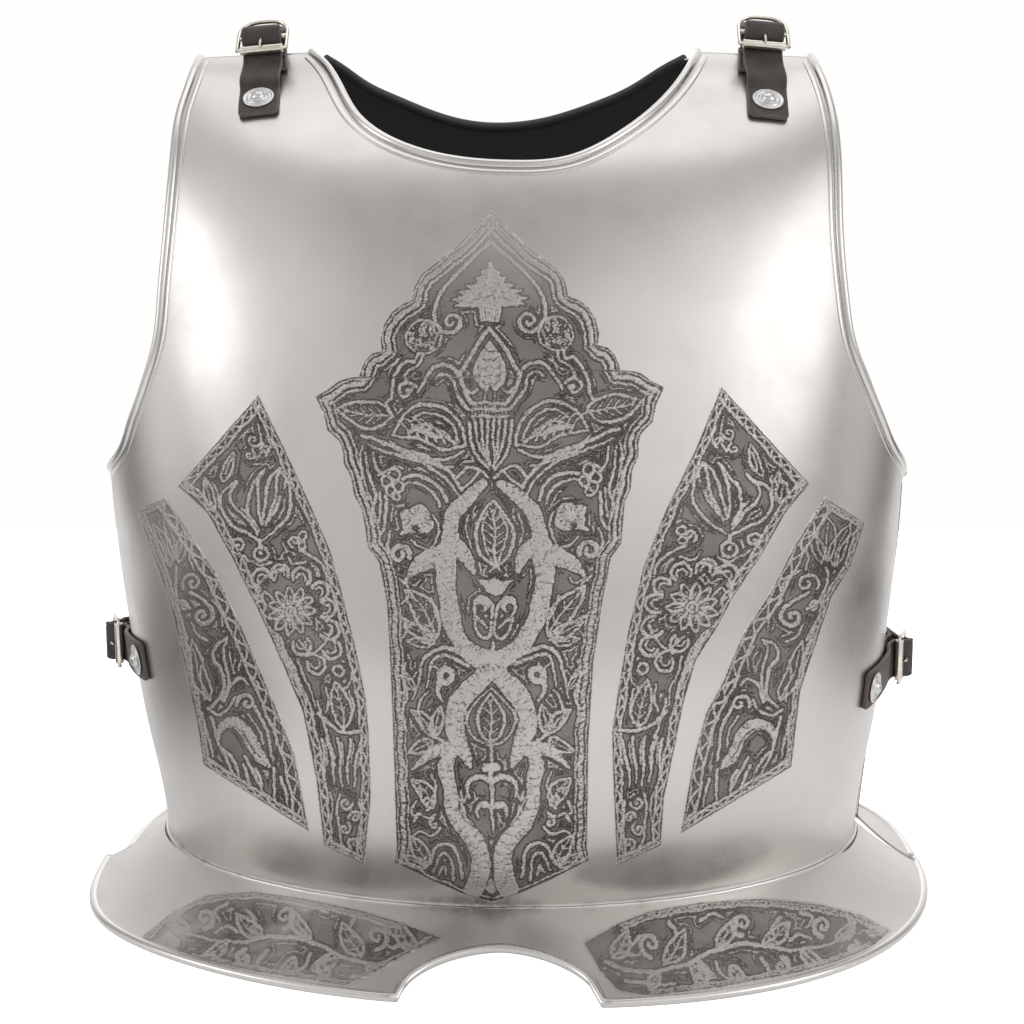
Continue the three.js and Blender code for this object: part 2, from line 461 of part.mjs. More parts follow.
function cylinderAt(c, axis, r, h, sides) {
  const g = new THREE.CylinderGeometry(r, r, h, sides);
  g.applyQuaternion(new THREE.Quaternion().setFromUnitVectors(V3(0, 1, 0), axis)); g.translate(c.x, c.y, c.z);
  return toSolid(g);
}
function latheAt(profile, c, axis, sides) {
  const g = new THREE.LatheGeometry(profile.map(([x, y]) => new THREE.Vector2(x, y)), sides);
  g.applyQuaternion(new THREE.Quaternion().setFromUnitVectors(V3(0, 1, 0), axis)); g.translate(c.x, c.y, c.z);
  return toSolid(g);
}
function wireSolid(points, r, sides) {
  const T = tangents(points); let n = Math.abs(T[0].z) < 0.8 ? V3(0, 0, 1) : V3(1, 0, 0);
  return toSolid(tube(points.map((p, i) => {
    n = n.clone().addScaledVector(T[i], -n.dot(T[i])).normalize(); const b = T[i].clone().cross(n), ring = [];
    for (let k = 0; k < sides; k++) { const f = 2 * Math.PI * k / sides; ring.push(p.clone().addScaledVector(n, r * Math.cos(f)).addScaledVector(b, r * Math.sin(f))); }
    return ring;
  })));
}
const HALF = SHEET / 2, LIE = HALF + FIT + STRAP_T / 2;   // strap's middle above the plate's middle
// rivet: ringed washer and domed head outside, shank, burr inside. Measured from the plate's middle
// highest point of a strap under a washer, measured along the rivet from the plate's middle
function strapTop(strap, at) {
  const m = strap.intersect(cylinderAt(at.p.clone().addScaledVector(at.n, 4), at.n, WASHER_D / 2 + 0.3, 20, 16)).getMesh();
  let top = 0;
  for (let i = 0; i < m.vertProperties.length; i += m.numProp) top = Math.max(top, V3(m.vertProperties[i], m.vertProperties[i + 1], m.vertProperties[i + 2]).sub(at.p).dot(at.n));
  return top;
}
function rivetSolid(c, n, under) {
  const t0 = under + FIT, w = WASHER_D / 2, s = SHANK_D / 2, h = HEAD_D / 2, i = -HALF - FIT - 0.65;
  return latheAt([
    [0, i - 1.6], [3.0, i - 1.6], [4.2, i - 0.8], [4.2, i], [s, i], [s, t0],
    [w, t0], [w, t0 + 0.7], [w - 1.2, t0 + 1.2], [h + 0.4, t0 + 1.2], [h * 0.85, t0 + 2.3], [h * 0.4, t0 + 3.2], [0, t0 + 3.35],
  ], c, n, 12);
}

const pieces = [];
let breastSolid = breast.solid, backSolid = back.solid;
for (const k of FASTENINGS) {
  const f = buckleFrame(k), bar = WIRE / 2;
  const lying = (y, h) => { const q = onPlate(k, y); return { p: q.p.clone().addScaledVector(q.n, h), n: q.n, u: acrossAt(k, q.n) }; };
  const inB = (q, m) => ({ p: inBuckle(f, 0, q, m), n: f.M, u: f.U });
  // strap from the breast: on the plate, under the roller, over the middle bar and under the bow
  const turn = (q0, r, deg) => { const t = THREE.MathUtils.degToRad(deg); return inB(q0 + r * Math.cos(t), r * Math.sin(t)); };
  const down = ROLLER_D / 2 + STRAP_T / 2 + FIT + 0.2, over = bar + FIT + 1.7 + STRAP_T / 2 + FIT + 0.15, under = -(bar + STRAP_T / 2 + FIT + 0.15), B = PITCH + 11.9;
  const lift = STRAP_T + FIT + 0.5, tip = BUCKLE_TIP;
  const keys = [
    lying(k.end, LIE), lying((k.end + k.rivet) / 2, LIE), lying(k.rivet, LIE), lying(k.rivet + 8.5, LIE + 0.1),
    ...(k.flank ? [lying(-38, LIE + 0.3), lying(-26, LIE + 1.2)] : [lying(-12.5 - k.slide, LIE + lift)]),
    inB(-5.5, -down - 0.9), turn(0, down, -90), turn(0, down, -50), turn(0, down, -8),
    turn(PITCH, over, 158), turn(PITCH, over, 125), turn(PITCH, over, 90), turn(PITCH, over, 55), turn(PITCH, over + 0.3, 24),
    inB(PITCH + 7.6, under), inB(B, under - 2.4), ...(k.flank ? [] : [inB(B + 4.5, under - 8)]),
    lying(k.tail - 7, LIE + lift + 1.2), lying(k.tail, LIE + lift + 0.8),
  ];
  const front = route(keys, 2.9);
  // strap from the back: riveted to the backplate, runs forward beneath the buckle
  const rear = drape(route([
    lying(k.backRivet + 12, LIE), lying(k.backRivet, LIE), lying(k.backRivet - 11, LIE),
    ...(k.flank ? [lying(30, LIE + 0.3), lying(18, LIE + 0.5 + 0.45 * k.step), lying(9, LIE + 0.9 + 0.9 * k.step), lying(5.2, LIE + 1.1 + k.step), lying(-0.5, LIE + 0.9)] : [lying(36, LIE + 0.4), lying(27, LIE + 1.2), lying(21.5, LIE + 1), lying(12, LIE + 0.6), lying(2 - k.slide, LIE + 0.4)]),
    lying(k.safe - k.slide, LIE + 0.2),
  ], 4.8).map((q, i, all) => ({ ...q, du: k.safeU * Math.max(0, (i / (all.length - 1) - 0.5) / 0.5) })), () => LIE);
  const nearBuckle = (p) => { const q = p.clone().sub(f.O).dot(f.Q); return q > -4 && q < PITCH + 9; };
  drape(front.filter((q) => !nearBuckle(q.p)), (q) => LIE + (q.p.y > k.safe - k.slide - 1.5 ? lift : 0));
  // the free end narrows where it dips through the bow, and comes to a blunt point
  const L0 = [0]; front.forEach((q, i) => { if (i) L0.push(L0[i - 1] + q.p.distanceTo(front[i - 1].p)); });
  const last = L0[L0.length - 1], at = front.findIndex((q, i) => i && q.p.distanceTo(inBuckle(f, 0, PITCH + over, 2)) < 3);
  front.forEach((q, i) => { if (i >= at) q.w = Math.min(lerp(STRAP_W, tip, clamp((L0[i] - L0[at]) / 4, 0, 1)), lerp(STRAP_W, 7, clamp((L0[i] - last + 7) / 7, 0, 1))); });
  let fs = strapSolid(front, STRAP_W, STRAP_T), rs = strapSolid(rear, STRAP_W, STRAP_T);
  // holes: rivets through strap and plate, prong through the strap
  const rv = onPlate(k, k.rivet, true), br = onPlate(k, k.backRivet, true);
  fs = fs.subtract(cylinderAt(rv.p, rv.n, HOLE_D / 2, 14, 8)); breastSolid = breastSolid.subtract(cylinderAt(rv.p, rv.n, HOLE_D / 2, 8, 8));
  rs = rs.subtract(cylinderAt(br.p, br.n, HOLE_D / 2, 14, 8)); backSolid = backSolid.subtract(cylinderAt(br.p, br.n, HOLE_D / 2, 8, 8));
  fs = fs.subtract(cylinderAt(inBuckle(f, 0, 5.2, 2.75), f.Q.clone().multiplyScalar(-0.98).addScaledVector(f.M, 0.19).normalize(), 2.1, 7.4, 8));
  // loop of the back strap round the middle bar, standing on the strap below
  const side = BUCKLE_IN / 2 - 2.6;
  const leg = rear.reduce((a, q) => (q.p.distanceTo(inBuckle(f, 0, PITCH + 1, -9)) < a.p.distanceTo(inBuckle(f, 0, PITCH + 1, -9)) ? q : a), rear[0]);
  const toLeg = leg.p.clone().sub(inBuckle(f, 0, PITCH, 0)); const lq = toLeg.dot(f.Q), lm = toLeg.dot(f.M);
  const ang = Math.atan2(lm, lq), ro = bar + FIT + 1.7, ri = bar + FIT;
  const shape = new THREE.Shape(); const wleg = 1.5;
  const start = ang + Math.asin(wleg / ro), stop = ang + 2 * Math.PI - Math.asin(wleg / ro), L = Math.hypot(lq, lm);
  for (let i = 0; i <= 14; i++) { const t = lerp(start, stop, i / 14); shape[i ? 'lineTo' : 'moveTo'](ro * Math.cos(t), ro * Math.sin(t)); }
  shape.lineTo(L * Math.cos(ang) + wleg * Math.sin(ang), L * Math.sin(ang) - wleg * Math.cos(ang));
  shape.lineTo(L * Math.cos(ang) - wleg * Math.sin(ang), L * Math.sin(ang) + wleg * Math.cos(ang));
  const hole = new THREE.Path(); for (let i = 0; i <= 12; i++) { const t = 2 * Math.PI * i / 12; hole[i ? 'lineTo' : 'moveTo'](ri * Math.cos(-t), ri * Math.sin(-t)); } shape.holes.push(hole);
  for (const [u0, u1] of [[-side, -2.4], [2.4, side]]) {
    const g = new THREE.ExtrudeGeometry(shape, { depth: u1 - u0, bevelEnabled: false, steps: 1 });
    const B = new THREE.Matrix4().makeBasis(f.Q, f.M, f.Q.clone().cross(f.M)); const sgn = f.Q.clone().cross(f.M).dot(f.U) > 0 ? 1 : -1;
    g.applyMatrix4(B); const o = inBuckle(f, sgn > 0 ? u0 : -u0, PITCH, 0); g.translate(o.x, o.y, o.z);
    rs = rs.add(toSolid(g));
  }
  // buckle: bent wire D with a middle bar, soldered
  const hw = BUCKLE_IN / 2 + bar, pts = [];
  const bowR = hw, cq = PITCH + 0.4, sq = 2.8;     // half width, where the bow begins, its squareness
  pts.push([-hw, 0]); for (let i = 0; i <= 12; i++) { const t = Math.PI - Math.PI * i / 12; pts.push([bowR * Math.sign(Math.cos(t)) * Math.abs(Math.cos(t)) ** (2 / sq), cq + 11.5 * Math.sin(t) ** (2 / sq)]); } pts.push([hw, 0]);
  let bk = wireSolid(pts.map(([u, q]) => inBuckle(f, u, q, 0)), bar, 8);
  bk = bk.add(wireSolid([-hw - 0.6, hw + 0.6].map((u) => inBuckle(f, u, 0, 0)), bar, 8)).add(wireSolid([-hw, hw].map((u) => inBuckle(f, u, PITCH, 0)), bar, 8));
  // roller: a tube on the straight bar
  const rl = BUCKLE_IN / 2 - 0.5, rollR = ROLLER_D / 2, bore = bar + 0.3;
  const roller = latheAt([[bore, -rl], [rollR, -rl], [rollR, rl], [bore, rl], [bore, -rl]], f.O, f.U, 12);
  // prong: an eye round the middle bar and a tongue on the roller
  const er = bar + FIT + 0.9, eye = [];
  for (let i = 0; i <= 8; i++) { const t = lerp(-2.1, 2.0, i / 8); eye.push(inBuckle(f, 0, PITCH + er * Math.cos(t), er * Math.sin(t))); }
  const prong = wireSolid([...eye, inBuckle(f, 0, 5.0, 2.75), inBuckle(f, 0, 2.6, rollR + 1.0), inBuckle(f, 0, 0.6, rollR + 1.3), inBuckle(f, 0, -1.8, rollR + 0.95)], 0.9, 6);
  const base = k.name;
  pieces.push({ name: base + '_front_strap', s: mainBody(fs), m: 'leather' }, { name: base + '_back_strap', s: mainBody(rs), m: 'leather' },
    { name: base + '_front_rivet', s: rivetSolid(rv.p, rv.n, strapTop(fs, rv)), m: 'zinc' }, { name: base + '_back_rivet', s: rivetSolid(br.p, br.n, strapTop(rs, br)), m: 'zinc' },
    { name: base + '_buckle', s: bk, m: 'nickel' }, { name: base + '_roller', s: roller, m: 'nickel' }, { name: base + '_prong', s: prong, m: 'nickel' });
}
const materials = {
  steel: new THREE.MeshStandardMaterial({ color: 0xb9b4ae, roughness: 0.34, metalness: 1.0 }),
  leather: new THREE.MeshStandardMaterial({ color: 0x3a322f, roughness: 0.55, metalness: 0.0 }),
  nickel: new THREE.MeshStandardMaterial({ color: 0xc9c4b8, roughness: 0.22, metalness: 1.0 }),
  zinc: new THREE.MeshStandardMaterial({ color: 0xc8cbca, roughness: 0.4, metalness: 1.0 }),
};
const group = new THREE.Group();
for (const q of [{ name: 'breastplate', s: mainBody(breastSolid), m: 'steel' }, { name: 'backplate', s: mainBody(backSolid), m: 'steel' }, ...pieces]) {
  const m = new THREE.Mesh(fromSolid(q.s.translate([CENTRE.x, CENTRE.y, 0])), materials[q.m]); m.name = q.name; group.add(m);
}
export default group;
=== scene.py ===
# Steel cuirass: breastplate with etched foliage, buckled to its plain backplate.
# Lengths are in millimetres until a mesh is made; meshes are in metres.
import bpy, math, random
import numpy as np
from mathutils import Vector, Matrix


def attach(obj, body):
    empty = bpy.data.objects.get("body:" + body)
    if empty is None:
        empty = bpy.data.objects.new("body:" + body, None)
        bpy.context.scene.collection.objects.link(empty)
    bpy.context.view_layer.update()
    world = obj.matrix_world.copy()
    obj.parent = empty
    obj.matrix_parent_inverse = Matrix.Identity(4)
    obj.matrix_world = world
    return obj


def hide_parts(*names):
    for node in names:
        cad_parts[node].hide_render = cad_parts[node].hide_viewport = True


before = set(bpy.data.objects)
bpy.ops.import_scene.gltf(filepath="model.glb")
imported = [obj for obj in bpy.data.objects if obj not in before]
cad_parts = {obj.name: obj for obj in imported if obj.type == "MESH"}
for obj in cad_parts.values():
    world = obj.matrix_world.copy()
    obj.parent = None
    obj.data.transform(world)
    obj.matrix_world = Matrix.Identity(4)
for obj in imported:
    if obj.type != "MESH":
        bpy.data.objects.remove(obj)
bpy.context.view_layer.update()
MM = 0.001
CENTRE = np.array([-0.9995, 9.2751, 0.0])      # the CAD's shift of its footprint onto the axis

# ------------------------------------------------------------------ sizes (as in the CAD)
SHEET, BEAD, PLATE_GAP, WAIST_Z, FLANGE_SAG = 1.4, 4.6, 5.0, 26.0, 2.2
STRAP_W, STRAP_T, FIT, WIRE, WASHER_D, HEAD_D, ROLLER_D, BUCKLE_IN, PITCH = 20.0, 2.2, 0.35, 2.2, 15.6, 6.4, 4.4, 22.4, 9.0
HALF = SHEET / 2
LIE = HALF + FIT + STRAP_T / 2

# level sections: z, half width, depth, squareness, set-back, sideways offset, droop at x = 150
BREAST = np.array([
 (26,181.5,131,2,0,1,0),(48,183,140,2.02,0,0.8,0),(85,189.2,149,2.05,0,0.4,0),(130,195,153,2.08,0,-0.3,0),(175,199.7,150,2.1,0,-1,0),
 (217,202.3,143,2.12,0,-1.5,0),(262,202.5,131,2.15,0,-1.5,0),(305,200,115,2.2,0,-1.5,0),(345,196,94,2.3,1,-1.5,0),(375,193,73,2.4,4,-1.5,0.3),
 (397,191,49,2.6,8,-1.5,1),(412,190,30,2.8,13,-1.5,2.2),(422,190,12,3,16,-1.5,3.4),(428,190,2,3,24,-1.5,4)], float)
BACK = np.array([
 (26,181,112,2.2,5,5,0),(48,183,118,2.2,5,5,0),(85,188,124,2.2,5,4.4,0),(130,193.6,128,2.2,5,4.2,0),(175,198,128,2.2,5,4.2,0),
 (214,199.8,126,2.2,5,4,0),(262,200,121,2.2,5,3.2,0),(305,199,112,2.25,5,1.6,0),(345,196,98,2.3,5,0,0),(375,193,81,2.5,5,-2,0.3),
 (397,192,62,2.8,5,-3,1),(412,191,46,3.2,5,-3,2.2),(421,190,34,3.6,5,-3,3.4),(425,190,26,4,5,-3,4)], float)
# arm edges: level, distance from the middle at -X and +X
BREAST_ARM = np.array([
 (216,204.4,200.2),(223.5,197.6,197.2),(235,187.8,189.2),(247,182.5,182.7),(259,177.2,177),
 (269,173.2,172.3),(289,166.9,164.3),(311,164.7,160.6),(337,162.9,158.6),(358,162,158.7),
 (379,161.7,159.2),(397,161.4,158.5),(412,159.4,156.4),(422,158.7,154.5),(428,158.6,153.5)], float)
BACK_ARM = np.array([
 (213,196,203.6),(223,192.8,200.2),(245,187,194.4),(263,182.6,188),(290,175.4,177.8),
 (320,168.2,168.8),(350,164,163),(375,162,159.2),(397,161,157.2),(412,159.8,155.8),
 (421,159.2,154.2),(425,159,153)], float)
# neck edges: x, z
BREAST_NECK = np.array([(-101.2,428),(-91.2,419.6),(-74.4,396),(-47.3,379.4),(-21.4,373.4),(3.7,371.8),
 (29.2,373.9),(54.6,385.5),(75.1,401),(89.4,418),(95.5,428)], float)
BACK_NECK = np.array([(-95,425),(-88,420),(-77.3,411.6),(-61.1,403.4),(-42,395.4),(-22.4,390.2),(-0.9,389.2),
 (19,392),(45.1,400.3),(64.3,409),(80,419.5),(89.5,425)], float)
BREAST_FLANGE = dict(w=216.8, d=187.3, skew=9.3, n=2.22, corner=0.5, ys=0, cx=1, notchW=47.4, notchD=0.56, notchX=-1)
BACK_FLANGE = dict(w=211.7, d=163, skew=0, n=2.7, corner=0, ys=5, cx=5, notchW=0, notchD=0, notchX=0)

# ------------------------------------------------------------------ maths
class Spline:
    """natural cubic through (x, y)"""
    def __init__(s, x, y):
        x = np.asarray(x, float); y = np.asarray(y, float); n = len(x); h = np.diff(x)
        A = np.zeros((n, n)); r = np.zeros(n); A[0, 0] = A[-1, -1] = 1
        for i in range(1, n - 1):
            A[i, i - 1] = h[i - 1]; A[i, i] = 2 * (h[i - 1] + h[i]); A[i, i + 1] = h[i]
            r[i] = 6 * ((y[i + 1] - y[i]) / h[i] - (y[i] - y[i - 1]) / h[i - 1])
        s.x, s.y, s.m, s.h = x, y, np.linalg.solve(A, r), h
    def __call__(s, q):
        q = np.asarray(q, float); i = np.clip(np.searchsorted(s.x, q, side='right') - 1, 0, len(s.x) - 2)
        h = s.h[i]; a = (s.x[i + 1] - q) / h; b = (q - s.x[i]) / h
        return a * s.y[i] + b * s.y[i + 1] + ((a ** 3 - a) * s.m[i] + (b ** 3 - b) * s.m[i + 1]) * h * h / 6

def unit(a):
    return a / np.maximum(1e-12, np.linalg.norm(a, axis=-1, keepdims=True))

class Plate:
    def __init__(s, rows, side):
        s.side = side
        prof = np.stack([rows[:, 4] + side * rows[:, 2], rows[:, 0]], 1)
        v = np.concatenate([[0], np.cumsum(np.linalg.norm(np.diff(prof, axis=0), axis=1))])
        s.vmax = v[-1]
        s.S = {k: Spline(v, rows[:, i]) for i, k in enumerate(['z', 'w', 'd', 'n', 'ys', 'cx', 'droop'])}
        s._v = np.linspace(0, s.vmax, 6000); s._z = np.maximum.accumulate(s.S['z'](s._v) + 1e-9 * np.arange(6000))
    def point(s, th, v):
        S = s.S; w = S['w'](v); n = S['n'](v); sn = np.sin(th)
        y = S['ys'](v) + s.side * S['d'](v) * np.maximum(0, 1 - np.abs(sn) ** n) ** (1 / n)
        x = S['cx'](v) + w * sn
        return np.stack(np.broadcast_arrays(x, y, S['z'](v) - S['droop'](v) * (w * sn / 150) ** 2), -1)
    def v_of_z(s, z): return np.interp(z, s._z, s._v)
    def th_of_x(s, x, v): return np.arcsin(np.clip((x - s.S['cx'](v)) / s.S['w'](v), -1, 1))
    def frame(s, th, v):
        e = 0.004; t = np.clip(th, -math.pi / 2 + 2 * e, math.pi / 2 - 2 * e); u = np.clip(v, 1, s.vmax - 1)
        a = (s.point(t + e, u) - s.point(t - e, u)) / (2 * e); b = s.point(t, u + 0.5) - s.point(t, u - 0.5)
        return a, b
    def normal(s, th, v):
        a, b = s.frame(th, v)
        return unit(np.cross(a, b)) * -s.side
    def shift(s, th, v, vec):
        """parameters after moving by the vector vec within the surface"""
        a, b = s.frame(th, v)
        aa = (a * a).sum(-1); ab = (a * b).sum(-1); bb = (b * b).sum(-1); va = (vec * a).sum(-1); vb = (vec * b).sum(-1)
        det = aa * bb - ab * ab
        return th + (va * bb - vb * ab) / det, v + (vb * aa - va * ab) / det

breast, back = Plate(BREAST, -1), Plate(BACK, 1)

def even(P, n):
    """parameters 0..1 of n+1 points at equal lengths along the dense polyline P"""
    L = np.concatenate([[0], np.cumsum(np.linalg.norm(np.diff(P, axis=0), axis=1))])
    return np.interp(np.linspace(0, L[-1], n + 1), L, np.linspace(0, 1, len(P)))

def plate_runs(plate, arm, neck):
    vz = arm[:, 0]; l = Spline(vz, arm[:, 1]); r = Spline(vz, arm[:, 2]); z0, z1 = vz[0], vz[-1]
    def on(x, z):
        v = np.where(z >= z1 - 1e-6, plate.vmax, plate.v_of_z(z)); return plate.th_of_x(x, v), v
    def left(t):
        z = z0 + (z1 - z0) * t; th, v = on(-l(z), z); return np.where(t <= 0, -math.pi / 2, th), v
    def right(t):
        z = z1 + (z0 - z1) * t; th, v = on(r(z), z); return np.where(t >= 1, math.pi / 2, th), v
    nl = np.concatenate([[0], np.cumsum(np.linalg.norm(np.diff(neck, axis=0), axis=1))]); nx, nz = Spline(nl, neck[:, 0]), Spline(nl, neck[:, 1])
    throat = lambda t: on(nx(t * nl[-1]), np.clip(nz(t * nl[-1]), 300, z1))
    shl = lambda t: on(-l(z1) + (neck[0, 0] + l(z1)) * t, z1 + 0 * t)
    shr = lambda t: on(neck[-1, 0] + (r(z1) - neck[-1, 0]) * t, z1 + 0 * t)
    return dict(arm_l=left, sho_l=shl, throat=throat, sho_r=shr, arm_r=right)

def run_params(plate, f, n):
    t = np.linspace(0, 1, 1500); th, v = f(t); e = even(plate.point(th, v), n)
    return f(e)

# ------------------------------------------------------------------ mesh making
COL = bpy.context.scene.collection
def mesh_object(name, verts, faces, mats=(), mat_index=None, smooth=True, attrs=None, body='root', rep=()):
    me = bpy.data.meshes.new(name)
    V = (np.asarray(verts, float) + CENTRE) * MM
    F = np.asarray(faces, dtype=np.int64)
    me.vertices.add(len(V)); me.vertices.foreach_set('co', V.astype(np.float32).ravel())
    k = F.shape[1]
    me.loops.add(F.size); me.loops.foreach_set('vertex_index', F.astype(np.int32).ravel())
    me.polygons.add(len(F)); me.polygons.foreach_set('loop_start', (np.arange(len(F)) * k).astype(np.int32)); me.polygons.foreach_set('loop_total', np.full(len(F), k, np.int32))
    for m in mats: me.materials.append(m)
    if mat_index is not None: me.polygons.foreach_set('material_index', np.asarray(mat_index, np.int32))
    me.polygons.foreach_set('use_smooth', np.full(len(F), bool(smooth)))
    me.update(calc_edges=True); me.validate()
    for key, val in (attrs or {}).items():
        at = me.attributes.new(key, 'FLOAT', 'POINT'); at.data.foreach_set('value', np.asarray(val, np.float32).ravel())
    o = bpy.data.objects.new(name, me); COL.objects.link(o)
    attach(o, body)
    if rep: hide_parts(*rep)
    return o

def grid_faces(R, C, wrap=False, flip=False, base=0):
    i = np.arange(R - 1)[:, None]; j = np.arange(C if wrap else C - 1)[None]
    a = i * C + j; b = i * C + (j + 1) % C; c = (i + 1) * C + (j + 1) % C; d = (i + 1) * C + j
    F = np.stack(np.broadcast_arrays(a, b, c, d), -1).reshape(-1, 4) + base
    return F[:, ::-1] if flip else F

def grid_normals(P):
    du = np.gradient(P, axis=1); dv = np.gradient(P, axis=0)
    return unit(np.cross(du, dv))

def sweep_object(name, rings, mats, caps=True, **kw):
    """closed tube through rings: stations x points x 3"""
    R, C = rings.shape[:2]; V = rings.reshape(-1, 3); F = grid_faces(R, C, wrap=True)
    extra = []
    if caps:
        c0, c1 = rings[0].mean(0), rings[-1].mean(0); n = len(V); V = np.concatenate([V, [c0, c1]])
        j = np.arange(C); F0 = np.stack([np.full(C, n), (j + 1) % C, j, j], 1); o = (R - 1) * C
        F1 = np.stack([np.full(C, n + 1), o + j, o + (j + 1) % C, o + (j + 1) % C], 1)
        tri = np.concatenate([F0[:, :3], F1[:, :3]])
    me = bpy.data.meshes.new(name)
    faces = [tuple(f) for f in F] + ([tuple(f) for f in tri] if caps else [])
    me.from_pydata([tuple(p) for p in (V + CENTRE) * MM], [], faces)
    for m in mats: me.materials.append(m)
    me.polygons.foreach_set('use_smooth', np.full(len(me.polygons), True)); me.update(); me.validate()
    o = bpy.data.objects.new(name, me); COL.objects.link(o)
    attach(o, kw.get('body', 'root'))
    if kw.get('rep'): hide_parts(*kw['rep'])
    # outward faces
    import bmesh
    bm = bmesh.new(); bm.from_mesh(me); bmesh.ops.recalc_face_normals(bm, faces=bm.faces); bm.to_mesh(me); bm.free()
    return o

# ------------------------------------------------------------------ camera
def cam_basis():
    e, a, D = math.radians(10.51), math.radians(1.0), 1100.0
    d = np.array([math.sin(a) * math.cos(e), -math.cos(a) * math.cos(e), math.sin(e)])
    C = np.array([1.5, 0, 192.2]) + D * d; fwd = -d
    right = unit(np.cross(fwd, [0, 0, 1])); up = np.cross(right, fwd)
    return C, fwd, right, up
CAM_C, CAM_F, CAM_R, CAM_U = cam_basis()
FOCAL = 2112.0
def to_px(P):
    v = np.asarray(P, float) - CAM_C; z = v @ CAM_F
    return np.stack([512 + FOCAL * (v @ CAM_R) / z, 512 - FOCAL * (v @ CAM_U) / z], -1)

cam_data = bpy.data.cameras.new('camera'); cam_data.sensor_width = 36; cam_data.sensor_fit = 'HORIZONTAL'
cam_data.lens = 36 * FOCAL / 1024; cam_data.clip_start = 0.05; cam_data.clip_end = 50
cam = bpy.data.objects.new('camera', cam_data); COL.objects.link(cam)
M = Matrix((Vector(CAM_R), Vector(CAM_U), Vector(-CAM_F))).transposed().to_4x4(); M.translation = Vector((CAM_C + CENTRE) * MM)
cam.matrix_world = M
bpy.context.scene.camera = cam

# ------------------------------------------------------------------ materials
class Nodes:
    """short hand for building a shader"""
    def __init__(s, name):
        s.m = bpy.data.materials.new(name); s.m.use_nodes = True; s.t = s.m.node_tree; s.t.nodes.clear()
        s.out = s.t.nodes.new('ShaderNodeOutputMaterial'); s.b = s.t.nodes.new('ShaderNodeBsdfPrincipled')
        s.t.links.new(s.b.outputs[0], s.out.inputs[0])
    def n(s, kind, **kw):
        q = s.t.nodes.new('ShaderNode' + kind)
        for k, v in kw.items():
            if k in q.inputs: s.put(q.inputs[k], v)
            else: setattr(q, k, v)
        return q
    def put(s, sock, v):
        if hasattr(v, 'is_linked') or isinstance(v, bpy.types.NodeSocket): s.t.links.new(v, sock)
        else: sock.default_value = v
    def coord(s): return s.n('TexCoord').outputs['Object']
    def noise(s, vec, scale, detail=4, rough=0.55, dist=0.0):
        q = s.n('TexNoise'); s.put(q.inputs['Vector'], vec); q.inputs['Scale'].default_value = scale; q.inputs['Detail'].default_value = detail
        q.inputs['Roughness'].default_value = rough; q.inputs['Distortion'].default_value = dist; return q.outputs['Fac']
    def math(s, op, a, b=0.0, c=0.0, clamp=False):
        q = s.n('Math'); q.operation = op; q.use_clamp = clamp
        for i, v in enumerate((a, b, c)): s.put(q.inputs[i], v)
        return q.outputs[0]
    def range(s, v, a, b, c=0.0, d=1.0, smooth=False):
        q = s.n('MapRange'); q.interpolation_type = 'SMOOTHSTEP' if smooth else 'LINEAR'
        for k, x in (('Value', v), ('From Min', a), ('From Max', b), ('To Min', c), ('To Max', d)): s.put(q.inputs[k], x)
        return q.outputs['Result']
    def mix(s, f, a, b):
        q = s.n('Mix'); q.data_type = 'RGBA'; s.put(q.inputs[0], f)
        for i, v in ((6, a), (7, b)):
            s.put(q.inputs[i], v if not isinstance(v, tuple) else (*v, 1.0)[:4])
        return q.outputs[2]
    def attr(s, name):
        q = s.n('Attribute'); q.attribute_name = name; return q.outputs['Fac']
    def bump(s, h, strength=0.3, dist=0.001, normal=None):
        q = s.n('Bump'); s.put(q.inputs['Height'], h); q.inputs['Strength'].default_value = strength; q.inputs['Distance'].default_value = dist
        if normal is not None: s.put(q.inputs['Normal'], normal)
        return q.outputs[0]
    def set(s, **kw):
        for k, v in kw.items():
            sock = s.b.inputs[k.replace('_', ' ')]
            s.put(sock, (*v, 1.0) if isinstance(v, tuple) and len(v) == 3 else v)
        return s.m

def scaled(N, vec, s):
    q = N.n('Mapping'); N.put(q.inputs['Vector'], vec); q.inputs['Scale'].default_value = s; return q.outputs[0]

def steel_base(name, tint=(0.60, 0.575, 0.555), rough=0.30):
    """satin-polished sheet: cloudy colour, fine polishing marks, faint dents"""
    N = Nodes(name); co = N.coord()
    cloud = N.noise(co, 9.0, 3, 0.5); blot = N.noise(co, 34.0, 4, 0.6)
    fine = N.noise(scaled(N, co, (60, 60, 900)), 6.0, 3, 0.6)
    speck = N.noise(co, 1400.0, 2, 0.7)
    col = N.mix(N.range(cloud, 0.35, 0.65), tuple(c * 0.93 for c in tint), tuple(min(1, c * 1.05) for c in tint))
    col = N.mix(N.range(blot, 0.60, 0.75, 0.0, 0.35), col, (tint[0] * 0.90, tint[1] * 0.84, tint[2] * 0.82))
    r = N.range(blot, 0.3, 0.7, rough - 0.035, rough + 0.06)
    r = N.math('ADD', r, N.range(fine, 0.3, 0.7, -0.03, 0.03))
    h = N.math('ADD', N.math('MULTIPLY', N.noise(co, 14.0, 2, 0.5), 1.0), N.math('MULTIPLY', speck, 0.010))
    nb = N.bump(h, 0.10, 0.004)
    N.set(Base_Color=col, Metallic=1.0, Roughness=r, Normal=nb)
    return N, co
N_STEEL = steel_base('steel_satin')[0]; M_STEEL = N_STEEL.m
M_RIM = steel_base('steel_rim', (0.64, 0.62, 0.60), 0.24)[0].m
N_WELD = steel_base('steel_weld', (0.64, 0.62, 0.60), 0.27)[0]; M_WELD = N_WELD.m
N_FLANGE = steel_base('steel_flange', (0.68, 0.655, 0.635), 0.40)[0]; M_FLANGE = N_FLANGE.m
